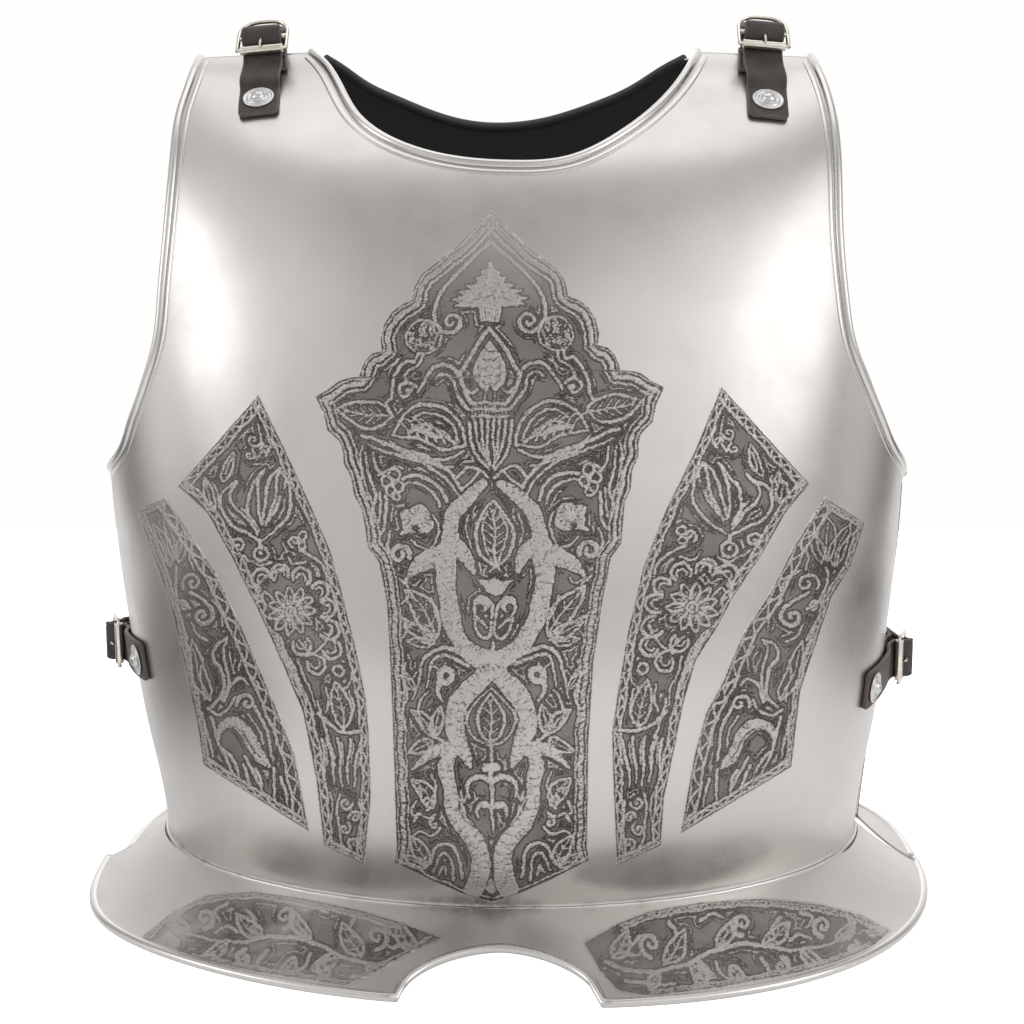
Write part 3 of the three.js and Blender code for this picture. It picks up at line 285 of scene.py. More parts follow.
def black_paint():
    N = Nodes('black_paint'); co = N.coord(); a = N.noise(co, 60.0, 4, 0.6); b = N.noise(co, 700.0, 2)
    N.set(Base_Color=N.mix(a, (0.030, 0.030, 0.030), (0.048, 0.046, 0.045)), Metallic=0.0, Roughness=N.range(a, 0.3, 0.7, 0.45, 0.62), Normal=N.bump(b, 0.15, 0.0006))
    return N.m
M_BLACK = black_paint()

# ------------------------------------------------------------------ the plates
def plate_piece(label, plate, runs, n_runs, rows, F, rep):
    """both faces of one plate, from the waist seam to its edges"""
    top = [run_params(plate, runs[k], n) for k, n in zip(('arm_l', 'sho_l', 'throat', 'sho_r', 'arm_r'), n_runs)]
    tth = np.concatenate([top[0][0]] + [t[0][1:] for t in top[1:]]); tv = np.concatenate([top[0][1]] + [t[1][1:] for t in top[1:]])
    P = plate.point(tth, tv); L = np.concatenate([[0], np.cumsum(np.linalg.norm(np.diff(P, axis=0), axis=1))])
    dense = np.linspace(-math.pi / 2, math.pi / 2, 4001); W = plate.point(dense, 0 * dense); LW = np.concatenate([[0], np.cumsum(np.linalg.norm(np.diff(W, axis=0), axis=1))])
    low = np.interp(L / L[-1] * LW[-1], LW, dense)
    f = np.linspace(0, 1, rows + 1)[:, None]
    th = low[None] + (tth - low)[None] * f; v = tv[None] * f
    mid = plate.point(th, v); nrm = plate.normal(th, v)
    R, C = mid.shape[:2]
    out, inn = mid + nrm * HALF, mid - nrm * HALF
    V = np.concatenate([out.reshape(-1, 3), inn.reshape(-1, 3)]); flip = plate.side > 0
    Fo = grid_faces(R, C, flip=flip); Fi = grid_faces(R, C, flip=not flip, base=R * C)
    # edge strips
    def strip(a, b): return np.stack([a[:-1], a[1:], b[1:], b[:-1]], 1)
    idx = np.arange(R * C).reshape(R, C); n = R * C
    E = [strip(idx[-1], idx[-1] + n), strip(idx[0] + n, idx[0]), strip(idx[:, 0], idx[:, 0] + n), strip(idx[:, -1] + n, idx[:, -1])]
    E = np.concatenate(E)
    if not flip: E = E[:, ::-1]
    faces = np.concatenate([Fo, Fi, E]); mi = np.concatenate([np.zeros(len(Fo)), np.ones(len(Fi)), np.zeros(len(E))])
    o = mesh_object(label + '_sheet', V, faces, (M_STEEL, M_BLACK), mi, rep=rep)
    return o, (tth, tv, low)

runs_b = plate_runs(breast, BREAST_ARM, BREAST_NECK); runs_k = plate_runs(back, BACK_ARM, BACK_NECK)
sheet_b, edge_b = plate_piece('breast', breast, runs_b, (64, 14, 64, 14, 64), 110, BREAST_FLANGE, ('breastplate',))
sheet_k, edge_k = plate_piece('back', back, runs_k, (44, 12, 44, 12, 44), 84, BACK_FLANGE, ('backplate',))

def flange_piece(label, plate, F, n, rows):
    th = np.linspace(-math.pi / 2, math.pi / 2, n + 1)
    side = plate.side; s = np.sin(th)
    rz = BEAD / 2 * math.cos(math.pi / 8)
    nn = F['n'] + F['corner'] * np.maximum(0, -s) ** 6; rim = np.stack([F['cx'] + F['w'] * s, F['ys'] + side * (F['d'] + F['skew'] * s) * np.maximum(0, 1 - np.abs(s) ** nn) ** (1 / nn), 0 * s + rz], -1)
    # even the stations along the rim, and put some at the notch's corners
    LW = np.concatenate([[0], np.cumsum(np.linalg.norm(np.diff(rim, axis=0), axis=1))]); th = np.interp(np.linspace(0, LW[-1], n + 1), LW, th); s = np.sin(th)
    if F['notchW']:
        for q in (-1, 1):
            want = math.asin((F['notchX'] - F['cx'] + q * F['notchW']) / F['w']); j = int(np.argmin(np.abs(th - want))); th[j] = want
        s = np.sin(th)
    nn = F['n'] + F['corner'] * np.maximum(0, -s) ** 6; rim = np.stack([F['cx'] + F['w'] * s, F['ys'] + side * (F['d'] + F['skew'] * s) * np.maximum(0, 1 - np.abs(s) ** nn) ** (1 / nn), 0 * s + rz], -1)
    w = plate.point(th, 0 * th); f = np.zeros(len(th))
    if F['notchW']:
        q = np.abs((rim[:, 0] - F['notchX']) / F['notchW']); f = np.where(q < 1, F['notchD'] * np.sqrt(np.maximum(0, 1 - q ** 1.75)), 0)
    edge = rim + (w - rim) * f[:, None]
    g = np.linspace(0, 1, rows + 1)[:, None]
    P = edge[None] + (w - edge)[None] * g[..., None]
    h = f[None] + (1 - f[None]) * g
    P[..., 2] -= FLANGE_SAG * 4 * h * (1 - h) * (1 - g) ** 0.2
    P[0, :, 2] = edge[:, 2]
    return P, th, edge

def flange_object(label, P, plate):
    R, C = P.shape[:2]; N = grid_normals(P) * (1 if plate.side < 0 else -1)
    N = np.where(N[..., 2:3] < 0, -N, N) if False else N
    out, inn = P + N * HALF, P - N * HALF
    flip = plate.side > 0
    V = np.concatenate([out.reshape(-1, 3), inn.reshape(-1, 3)]); Fo = grid_faces(R, C, flip=flip); Fi = grid_faces(R, C, flip=not flip, base=R * C)
    idx = np.arange(R * C).reshape(R, C); n = R * C
    strip = lambda a, b: np.stack([a[:-1], a[1:], b[1:], b[:-1]], 1)
    E = np.concatenate([strip(idx[-1], idx[-1] + n), strip(idx[0] + n, idx[0]), strip(idx[:, 0], idx[:, 0] + n), strip(idx[:, -1] + n, idx[:, -1])])
    if not flip: E = E[:, ::-1]
    return mesh_object(label + '_flange', V, np.concatenate([Fo, Fi, E]), (M_FLANGE, M_BLACK), np.concatenate([np.zeros(len(Fo)), np.ones(len(Fi)), np.zeros(len(E))]))

FP_b, FTH_b, FE_b = flange_piece('breast', breast, BREAST_FLANGE, 260, 18)
FP_k, FTH_k, FE_k = flange_piece('back', back, BACK_FLANGE, 160, 14)
flange_object('breast', FP_b, breast); flange_object('back', FP_k, back)

# ------------------------------------------------------------------ rolled rims, step lines, weld seams
def path_frame(P, N):
    T = unit(np.gradient(P, axis=0)); B = unit(np.cross(T, N)); N2 = unit(np.cross(B, T)); return T, N2, B

def round_bead(name, P, N, r, lift, sides=14, mat=None, squash=1.0):
    T, N2, B = path_frame(P, N); c = P + N2 * lift
    a = 2 * math.pi * np.arange(sides) / sides
    rings = c[:, None] + r * squash * np.cos(a)[None, :, None] * N2[:, None] + r * np.sin(a)[None, :, None] * B[:, None]
    return sweep_object(name, rings, (mat or M_RIM,))

def on_surface_strip(name, plate, th, v, inward, d0, d1, height, mat=None, edge=0.5):
    """a low raised band that follows an edge, from d0 to d1 inside it"""
    P = plate.point(th, v); N = plate.normal(th, v); T = unit(np.gradient(P, axis=0)); B = unit(np.cross(N, T)) * inward
    prof = [(d0, -0.25), (d0 + 0.05, height * 0.55), (d0 + edge * 0.6, height), ((d0 + d1) / 2, height * 1.06), (d1 - edge * 0.6, height), (d1 - 0.05, height * 0.55), (d1, -0.25)]
    rings = []
    for d, h in prof:
        t2, v2 = plate.shift(th, v, B * d); v2 = np.minimum(v2, plate.vmax); rings.append(plate.point(t2, v2) + plate.normal(t2, v2) * (HALF + h))
    rings = np.stack(rings, 1)
    R, C = rings.shape[:2]
    return mesh_object(name, rings.reshape(-1, 3), grid_faces(R, C, flip=(inward * plate.side > 0)), (mat or M_RIM,))

def rims(label, plate, runs, n_arm, n_neck):
    for k, n in (('arm_l', n_arm), ('arm_r', n_arm), ('throat', n_neck)):
        th, v = run_params(plate, runs[k], n); P = plate.point(th, v); N = plate.normal(th, v)
        round_bead(f'{label}_{k}_rim', P, N, BEAD / 2, 0.5)
        if plate.side < 0:
            q = slice(3, -3)
            s = 1 if plate.side < 0 else -1
            d = (3.0, 6.4) if k == 'throat' else (2.9, 5.6)
            on_surface_strip(f'{label}_{k}_step', plate, th[q], v[q], -1, *d, 0.42)
    for k in ('sho_l', 'sho_r'):
        th, v = run_params(plate, runs[k], 24); round_bead(f'{label}_{k}_edge', plate.point(th, v), plate.normal(th, v), HALF * 1.02, 0.0, 10, M_STEEL)
rims('breast', breast, runs_b, 110, 120); rims('back', back, runs_k, 80, 80)

def floor_bead(name, edge, r, mat=None, sides=16):
    P = edge.copy(); T = unit(np.gradient(P * [1, 1, 0], axis=0)); B = np.stack([T[:, 1], -T[:, 0], 0 * T[:, 0]], -1)
    a = 2 * math.pi * (np.arange(sides) + 0.5) / sides; rr = r * math.cos(math.pi / 8)
    rings = P[:, None] + r * np.sin(a)[None, :, None] * B[:, None]; rings = rings + np.stack([0 * a, 0 * a, rr * np.clip(np.cos(a) * 1.04, -1, 1.08)], -1)[None]
    return sweep_object(name, rings, (mat or M_RIM,))
floor_bead('breast_flange_rim', FE_b, BEAD / 2); floor_bead('back_flange_rim', FE_k, BEAD / 2)

def weld(label, plate, n):
    th = np.linspace(-math.pi / 2, math.pi / 2, n + 1); rnd = np.random.RandomState(7)
    P = plate.point(th, 0 * th); N = plate.normal(th, 0 * th + 1)
    wob = np.convolve(rnd.normal(0, 1, n + 1 + 8), np.ones(9) / 9, 'valid')
    P = P + np.array([0, 0, 1]) * (wob * 0.35)[:, None] + N * (HALF + 0.35)
    return round_bead(label + '_weld', P, N, 1.05, 0.0, 8, M_WELD)
weld('breast', breast, 300); weld('back', back, 200)

def painted_seam_shade(n):
    """painted shade: a thin dark line along the lower side of the front weld, standing in for the shade under the bead,
    wider here and there
    """
    th = np.linspace(-1.50, 1.50, n + 1); rnd = np.random.RandomState(19); P = breast.point(th, 0 * th); N = breast.normal(th, 0 * th + 1)
    w = np.convolve(rnd.normal(0, 1, n + 25), np.hanning(25) / 5.0, 'valid')[:n + 1]; r = np.clip(0.42 + 0.18 * w, 0.18, 0.72)
    c = P + N * (HALF + 1.55) + np.array([0, 0, -0.70]); T = unit(np.gradient(c, axis=0)); B = unit(np.cross(T, N)); a = 2 * math.pi * np.arange(6) / 6
    rings = c[:, None] + r[:, None, None] * (np.cos(a)[None, :, None] * N[:, None] + np.sin(a)[None, :, None] * B[:, None])
    # painted shade: this dark colour stands in for the shade under the weld bead
    g = Nodes('seam_painted_shade'); q = g.coord(); g.set(Base_Color=g.mix(g.noise(q, 300.0, 3), (0.05, 0.045, 0.042), (0.16, 0.148, 0.14)), Metallic=0.4, Roughness=0.6)
    return sweep_object('breast_seam_painted_shade', rings, (g.m,))
painted_seam_shade(300)

def soil(N):
    """dark specks and smudges where the mesh's attribute soil says so"""
    col = N.b.inputs['Base Color'].links[0].from_socket; co = N.coord()
    m = N.math('MULTIPLY', N.attr('soil'), N.range(N.noise(co, 430.0, 3, 0.7), 0.34, 0.60, 0.40, 1.0)); N.set(Base_Color=N.mix(m, col, (0.10, 0.088, 0.082)))
def soil_mask(o, spots):
    """writes the attribute soil from spots: (place in mm, radius in mm, strength)"""
    n = len(o.data.vertices); V = np.empty(n * 3, np.float32); o.data.vertices.foreach_get('co', V); V = V.reshape(-1, 3); m = np.zeros(n)
    for c, r, s in spots:
        d = np.linalg.norm(V - (np.asarray(c) + CENTRE) * MM, axis=1); m = np.maximum(m, s * (lambda t: t * t * (3 - 2 * t))(np.clip((r * MM - d) / (0.8 * r * MM), 0, 1)))
    at = o.data.attributes.new('soil', 'FLOAT', 'POINT'); at.data.foreach_set('value', np.clip(m, 0, 1).astype(np.float32))
def seam_at(x):
    th = np.linspace(-1.5, 1.5, 3001); P = breast.point(th, 0 * th); return P[int(np.argmin(np.abs(to_px(P)[:, 0] - x)))]
UP = np.array([0, 0, 1.0])
SMUDGES = [(seam_at(x) + UP * z, r, s) for x, z, r, s in ((420, 0, 7, 0.30), (440, 1, 9, 0.42), (462, 2, 12, 0.55), (484, 3, 14, 0.62), (506, 2, 12, 0.55), (530, 0, 9, 0.40), (356, 0, 5, 0.30), (590, 0, 6, 0.25), (640, 0, 6, 0.25), (206, 0, 4, 0.45), (184, 1, 4, 0.4))]
PITS = [(seam_at(x) + UP * z, r, s) for x, z, r, s in ((240, 0.6, 2.2, 1.3), (250, 0.2, 1.8, 1.3), (308, 0.4, 1.9, 1.2), (313, 0.2, 1.8, 1.2), (736, 0.6, 1.9, 1.2), (590, 0.3, 1.5, 0.9), (412, 0.4, 1.5, 0.9), (680, 0.4, 1.4, 0.8))]
soil(N_STEEL); soil(N_WELD); soil(N_FLANGE)
for o in (sheet_b, bpy.data.objects['breast_flange']): soil_mask(o, SMUDGES)
soil_mask(bpy.data.objects['breast_weld'], SMUDGES + PITS)

# ------------------------------------------------------------------ etched foliage
# The drawing's units are 0.52 mm on the middle of the chest, x to the right, y down, as seen from the front.
def smooth_path(P, k=5):
    """Catmull-Rom through rows of x, y, half width"""
    P = np.asarray(P, float); n = len(P)
    if n < 3: return P
    Q = np.concatenate([[2 * P[0] - P[1]], P, [2 * P[-1] - P[-2]]]); t = (np.arange(k) / k)[:, None]; out = []
    for i in range(n - 1):
        a, b, c, d = Q[i:i + 4]; out.append(0.5 * ((2 * b) + (c - a) * t + (2 * a - 5 * b + 4 * c - d) * t ** 2 + (3 * b - a - 3 * c + d) * t ** 3))
    return np.concatenate(out + [P[-1:]])

class Field:
    """signed distance of the raised lines at the points X, Y: below zero on a line"""
    def __init__(s, X, Y, seed=0):
        a = 1.7 * seed
        s.X = X + 0.7 * np.sin(Y * 0.17 + a + 1.3 * np.sin(X * 0.09)) + 0.3 * np.sin(Y * 0.61 + X * 0.23)
        s.Y = Y + 0.6 * np.sin(X * 0.19 + 2 * a + 1.1 * np.sin(Y * 0.08)) + 0.3 * np.sin(X * 0.57 - Y * 0.31)
        s.F = np.full(X.shape, 30.0); s.rnd = np.random.RandomState(40 + seed)
    def _near(s, P, m):
        x0, y0 = P[:, :2].min(0) - m; x1, y1 = P[:, :2].max(0) + m
        return np.nonzero((s.X > x0) & (s.X < x1) & (s.Y > y0) & (s.Y < y1))[0]
    def _dist(s, i, P):
        x, y = s.X[i][:, None], s.Y[i][:, None]; a, b = P[:-1], P[1:]; d = b - a; L = np.maximum(1e-9, (d[:, :2] ** 2).sum(1))
        t = np.clip(((x - a[:, 0]) * d[:, 0] + (y - a[:, 1]) * d[:, 1]) / L, 0, 1)
        return (np.hypot(x - a[:, 0] - t * d[:, 0], y - a[:, 1] - t * d[:, 1]) - (a[:, 2] + t * d[:, 2])).min(1)
    def line(s, P):
        i = s._near(P, 14 + P[:, 2].max())
        if len(i): s.F[i] = np.minimum(s.F[i], s._dist(i, P))
    def cut(s, P):
        i = s._near(P, 8 + P[:, 2].max())
        if len(i): s.F[i] = np.maximum(s.F[i], -s._dist(i, P))
    def poly(s, P, add=True):
        i = s._near(P, 14)
        if not len(i): return
        Q = np.concatenate([P, P[:1]]); Q[:, 2] = 0; d = s._dist(i, Q); x, y = s.X[i], s.Y[i]; ins = np.zeros(len(i), bool)
        for a, b in zip(Q[:-1], Q[1:]):
            with np.errstate(divide='ignore', invalid='ignore'):
                c = ((a[1] > y) != (b[1] > y)) & (x < (b[0] - a[0]) * (y - a[1]) / (b[1] - a[1] + 1e-12) + a[0])
            ins ^= c
        d = np.where(ins, -d, d)
        s.F[i] = np.minimum(s.F[i], d) if add else np.maximum(s.F[i], -d)

class Pen:
    """draws each motif once for every placing in `maps`"""
    def __init__(s, field, maps): s.f, s.maps = field, maps
    def _p(s, pts, w, curve):
        pts = np.asarray(pts, float)
        if pts.shape[1] == 2:
            n = len(pts); ww = np.full(n, w / 2) if np.isscalar(w) else np.interp(np.linspace(0, 1, n), np.linspace(0, 1, len(w)), np.asarray(w) / 2)
            pts = np.column_stack([pts, ww])
        else: pts = pts * [1, 1, 0.5]
        return smooth_path(pts) if curve else pts
    def _each(s, P, fn):
        for m in s.maps:
            x, y = m(P[:, 0], P[:, 1]); fn(np.column_stack([x, y, P[:, 2]]))
    def line(s, pts, w=2.6, curve=True): s._each(s._p(pts, w, curve), s.f.line)
    def cut(s, pts, w=1.6, curve=True): s._each(s._p(pts, w, curve), s.f.cut)
    def fill(s, pts, curve=False): s._each(s._p(pts, 0, curve), s.f.poly)
    def clear(s, pts, curve=False): s._each(s._p(pts, 0, curve), lambda P: s.f.poly(P, False))
    def ring(s, x, y, r, w=2.4, q=1.0, n=24):
        a = np.linspace(0, 2 * np.pi, n + 1); s._each(np.column_stack([x + r * np.cos(a), y + q * r * np.sin(a), 0 * a + w / 2]), s.f.line)
    def dot(s, x, y, r): s._each(np.array([[x, y, r], [x + 0.01, y, r]]), s.f.line)
    def hole(s, x, y, r): s._each(np.array([[x, y, r], [x + 0.01, y, r]]), s.f.cut)
    def curl(s, x, y, r, a0, turns=1.25, w=(3.0, 2.4), end=0.12, n=22):
        """a scroll that winds in from radius r at the angle a0 (degrees, clockwise from +x)"""
        t = np.linspace(0, 1, n); a = np.radians(a0) + 2 * np.pi * turns * t; q = r * (1 - (1 - end) * t ** 0.85)
        P = np.column_stack([x + q * np.cos(a), y + q * np.sin(a), np.interp(t, [0, 1], np.array(w) / 2)]); s._each(P, s.f.line)
    def comma(s, x, y, r, tail, w=4.0):
        """a ball with a tapering tail through the points of `tail`"""
        s.dot(x, y, r); P = [(x, y, r * 1.5)] + [(q[0], q[1], w * (1 - 0.75 * (i + 1) / len(tail))) for i, q in enumerate(tail)]
        s.line(P); s.hole(x, y, r * 0.36)
    def leaf(s, x0, y0, x1, y1, width, w=2.4, veins=4, bend=0.0, rib=True, fat=0.5):
        """outline from base to tip with a midrib and veins"""
        a, b = np.array([x0, y0], float), np.array([x1, y1], float); d = b - a; n = np.array([-d[1], d[0]]) / np.hypot(*d); L = np.hypot(*d)
        c = lambda t: a + d * t + n * bend * L * math.sin(math.pi * t)
        prof = lambda t: math.sin(math.pi * t ** (0.8 if fat > 0.4 else 1.2)) ** 0.85 if 0 < t < 1 else 0.0
        tt = np.linspace(0, 1, 9)
        for sg in (-1, 1): s.line([c(t) + n * sg * width / 2 * prof(t) for t in tt], (w * 0.8, w, w, w * 0.7))
        if rib: s.line([c(t) for t in np.linspace(0.0, 0.86, 5)], (w * 0.75, w * 0.45))
        for k in range(veins):
            t = 0.18 + 0.58 * k / max(1, veins - 1) if veins > 1 else 0.4
            for sg in (-1, 1): s.line([c(t), c(t + 0.14) + n * sg * width / 2 * 0.62 * prof(min(0.98, t + 0.14))], (w * 0.5, w * 0.3), False)
    def flame(s, x, y, tips, w=2.8, open_=0.26):
        """petals that rise from the base x, y to each tip: tx, ty, bulge"""
        for tx, ty, bu in tips:
            d = np.array([tx - x, ty - y], float); L = np.hypot(*d); n = np.array([-d[1], d[0]]) / L
            for sg in (-1, 1):
                s.line([np.array([x, y]) + d * t + n * (bu * L * math.sin(math.pi * t) + sg * open_ * L * 0.5 * math.sin(math.pi * min(1, t * 1.02)) ** 0.8 * (0.6 + 0.4 * t)) for t in np.linspace(0, 1, 7)], (w * 0.9, w, w * 0.7))
            s.line([np.array([x, y]) + d * t + n * bu * L * math.sin(math.pi * t) for t in np.linspace(0.35, 0.78, 4)], (w * 0.5, w * 0.4))
    def rosette(s, x, y, r, petals=11, w=2.4, q=1.0, tilt=0.0):
        s.ring(x, y, r * 0.2, w); s.dot(x, y, r * 0.07 + 0.6); ct, st = math.cos(tilt), math.sin(tilt)
        R = lambda a, b: (x + ct * a - st * b * q, y + st * a + ct * b * q)
        for k in range(petals):
            a = 2 * math.pi * k / petals; e = math.pi / petals
            P = [R(r * 0.34 * math.cos(a - e * 0.7), r * 0.34 * math.sin(a - e * 0.7)), R(r * 0.72 * math.cos(a - e * 0.75), r * 0.72 * math.sin(a - e * 0.75)), R(r * math.cos(a), r * math.sin(a)),
                 R(r * 0.72 * math.cos(a + e * 0.75), r * 0.72 * math.sin(a + e * 0.75)), R(r * 0.34 * math.cos(a + e * 0.7), r * 0.34 * math.sin(a + e * 0.7))]
            s.line(P, w * 0.8); s.line([R(r * 0.45 * math.cos(a), r * 0.45 * math.sin(a)), R(r * 0.68 * math.cos(a), r * 0.68 * math.sin(a))], w * 0.4, False)
    def arch(s, x, y, rx, ry, a0, a1, w=2.6):
        a = np.radians(np.linspace(a0, a1, 12)); s.line(np.column_stack([x + rx * np.cos(a), y + ry * np.sin(a)]), w, False)
    def speckle(s, x, y, r, n=60, size=0.9):
        for q, a, k in zip(np.sqrt(s.f.rnd.rand(n)) * r, s.f.rnd.rand(n) * 6.283, s.f.rnd.rand(n)): s.dot(x + q * math.cos(a), y + q * math.sin(a), size * (0.6 + 0.7 * k))
    def band(s, pts, rough=1.0):
        """a broad raised strap: x, y, width"""
        s.line(pts); P = smooth_path(np.asarray(pts, float) * [1, 1, 0.5]); T = np.gradient(P[:, :2], axis=0); T /= np.hypot(*T.T)[:, None]; N = np.column_stack([-T[:, 1], T[:, 0]])
        L = np.concatenate([[0], np.cumsum(np.hypot(*np.diff(P[:, :2], axis=0).T))]); rnd = s.f.rnd
        for l in np.arange(2.5, L[-1] - 2, 3.4 / max(0.3, rough)):
            l += rnd.uniform(-1.2, 1.2); c = np.array([np.interp(l, L, P[:, k]) for k in range(3)]); n = np.array([np.interp(l, L, N[:, k]) for k in range(2)])
            sg = rnd.choice([-1, 1]); a, b = rnd.uniform(0.75, 0.95), rnd.uniform(-0.1, 0.45); q = rnd.uniform(-1.5, 1.5)
            s.cut([(c[0] + n[0] * sg * a * c[2], c[1] + n[1] * sg * a * c[2]), (c[0] + n[0] * sg * b * c[2] + q * 0.4, c[1] + n[1] * sg * b * c[2] + q)], (0.9, 0.35), False)

def echo(X, Y, F, y0=305.0):
    """a thinner second contour that follows each motif and breaks off here and there"""
    gap = 1.3 * np.maximum(0, np.sin(X * 0.11 + 2 * np.sin(Y * 0.045)) + np.sin(Y * 0.13 + 1.5 * np.sin(X * 0.07)) + 0.55)
    return np.minimum(F, np.abs(F - 4.7) - 0.62 + gap + 2.5 * (Y < y0))

def offset_path(P, d):
    P = np.asarray(P, float); T = np.gradient(P, axis=0); T /= np.maximum(1e-9, np.hypot(*T.T))[:, None]; return P + np.column_stack([-T[:, 1], T[:, 0]]) * d
def resample(P, step):
    P = np.asarray(P, float); L = np.concatenate([[0], np.cumsum(np.hypot(*np.diff(P, axis=0).T))]); n = max(2, int(round(L[-1] / step))); t = np.linspace(0, L[-1], n + 1)
    return np.column_stack([np.interp(t, L, P[:, k]) for k in range(2)])
def zigzag(pen, P, d0, d1, step, w=2.2, side=1, rails=(2.0, 2.4)):
    """two rails beside the path and a zigzag between them"""
    D = resample(smooth_path(np.column_stack([np.asarray(P, float), np.zeros(len(P))]))[:, :2], 3.0)
    pen.line(offset_path(D, side * d0), rails[0], False); pen.line(offset_path(D, side * d1), rails[1], False)
    R = resample(D, step / 2); a, b = offset_path(R, side * (d0 + 0.5)), offset_path(R, side * (d1 - 0.5)); Z = np.where((np.arange(len(R)) % 2 == 0)[:, None], a, b); pen.line(Z, w, False)

# ---- outlines of the panels: rows of left and right edge at each level
HEAD = [(1,212.5),(17.7,229.8),(38,249),(59,264),(69,272),(75.5,284),(78,297),(88,300.5),(98,308),(105.5,320),(109,333),(107.5,346),(117,347.5),(124.5,355),(128.5,364),(130,371.5),(140,370.5),(151,374),(162,382),(174,387.5),
        (166,404),(162,422),(150,434),(147,444),(147,456),(140,470),(138,488),(131,503),(128.5,522),(126,543),(115.5,558),(107.5,599),(101,662),(97,739),(94.5,847),(97,859),(60,878),(26,893),(2,900)]
AXIS = [(200,491),(330,489.8),(420,490),(480,492),(530,494.5),(590,495.5),(640,492.5),(700,491),(760,491),(800,492),(900,491.5)]
SHEAR = [(200,0.026),(450,0.026),(600,0.012),(900,0.008)]
def a_side(sg):
    def m(d, y):
        d, y = np.asarray(d, float), np.asarray(y, float)
        ax = np.interp(y, *zip(*AXIS)); sh = np.interp(y, *zip(*SHEAR)); return ax + sg * d, y + sh * d * (1 - sg)
    return m
B_LEFT = dict(left=[(259,396),(180,486),(208,512),(232,555),(260,611),(284,664),(304,712),(317,777),(325,844),(364,863.5)], right=[(259,396),(284,447),(308,499),(330,549),(341,588),(356,648),(366,698),(369,733),(371,798),(364,863.5)])
B_RIGHT = dict(left=[(721,388),(693,455),(665,512),(643,568),(628,631),(617,698),(612,733),(614,798),(617,864.5)], right=[(721,388),(808,484),(786,510),(760,555),(734,594),(715,629),(695,660),(682,705),(672,755),(663,798),(660,844),(617,864.5)])
C_LEFT = dict(left=[(167,498),(139,510),(172,603),(187,668),(200,729),(205,764),(309,829.5)], right=[(167,498),(215,571),(243,629),(273,699),(295,755),(309,829.5)])
C_RIGHT = dict(left=[(824,498),(795,544),(769,594),(743,633),(721,685),(706,712),(695,751),(687,794),(681,831.5)], right=[(824,498),(863,523),(849,566),(830,597),(815,642),(799,690),(790,766),(681,831.5)])
def edge_x(rows, y): P = np.array(rows, float); return np.interp(y, P[:, 1], P[:, 0])
def across(A, B):
    """maps a place in panel A to the mirrored place in panel B"""
    y0, y1 = A['left'][0][1], A['left'][-1][1]; q0, q1 = B['left'][0][1], B['left'][-1][1]
    def m(x, y):
        x, y = np.asarray(x, float), np.asarray(y, float); f = np.clip((y - y0) / (y1 - y0), 0, 1); Y = q0 + (q1 - q0) * f + (y - y0 - (y1 - y0) * f)
        l, r = edge_x(A['left'], y), edge_x(A['right'], y); L, R = edge_x(B['left'], Y), edge_x(B['right'], Y); w = np.maximum(12.0, r - l); W = np.maximum(12.0, R - L)
        t = (x - (l + r) / 2) / w; return (L + R) / 2 - t * W, Y
    return m
same = lambda x, y: (np.asarray(x, float), np.asarray(y, float))

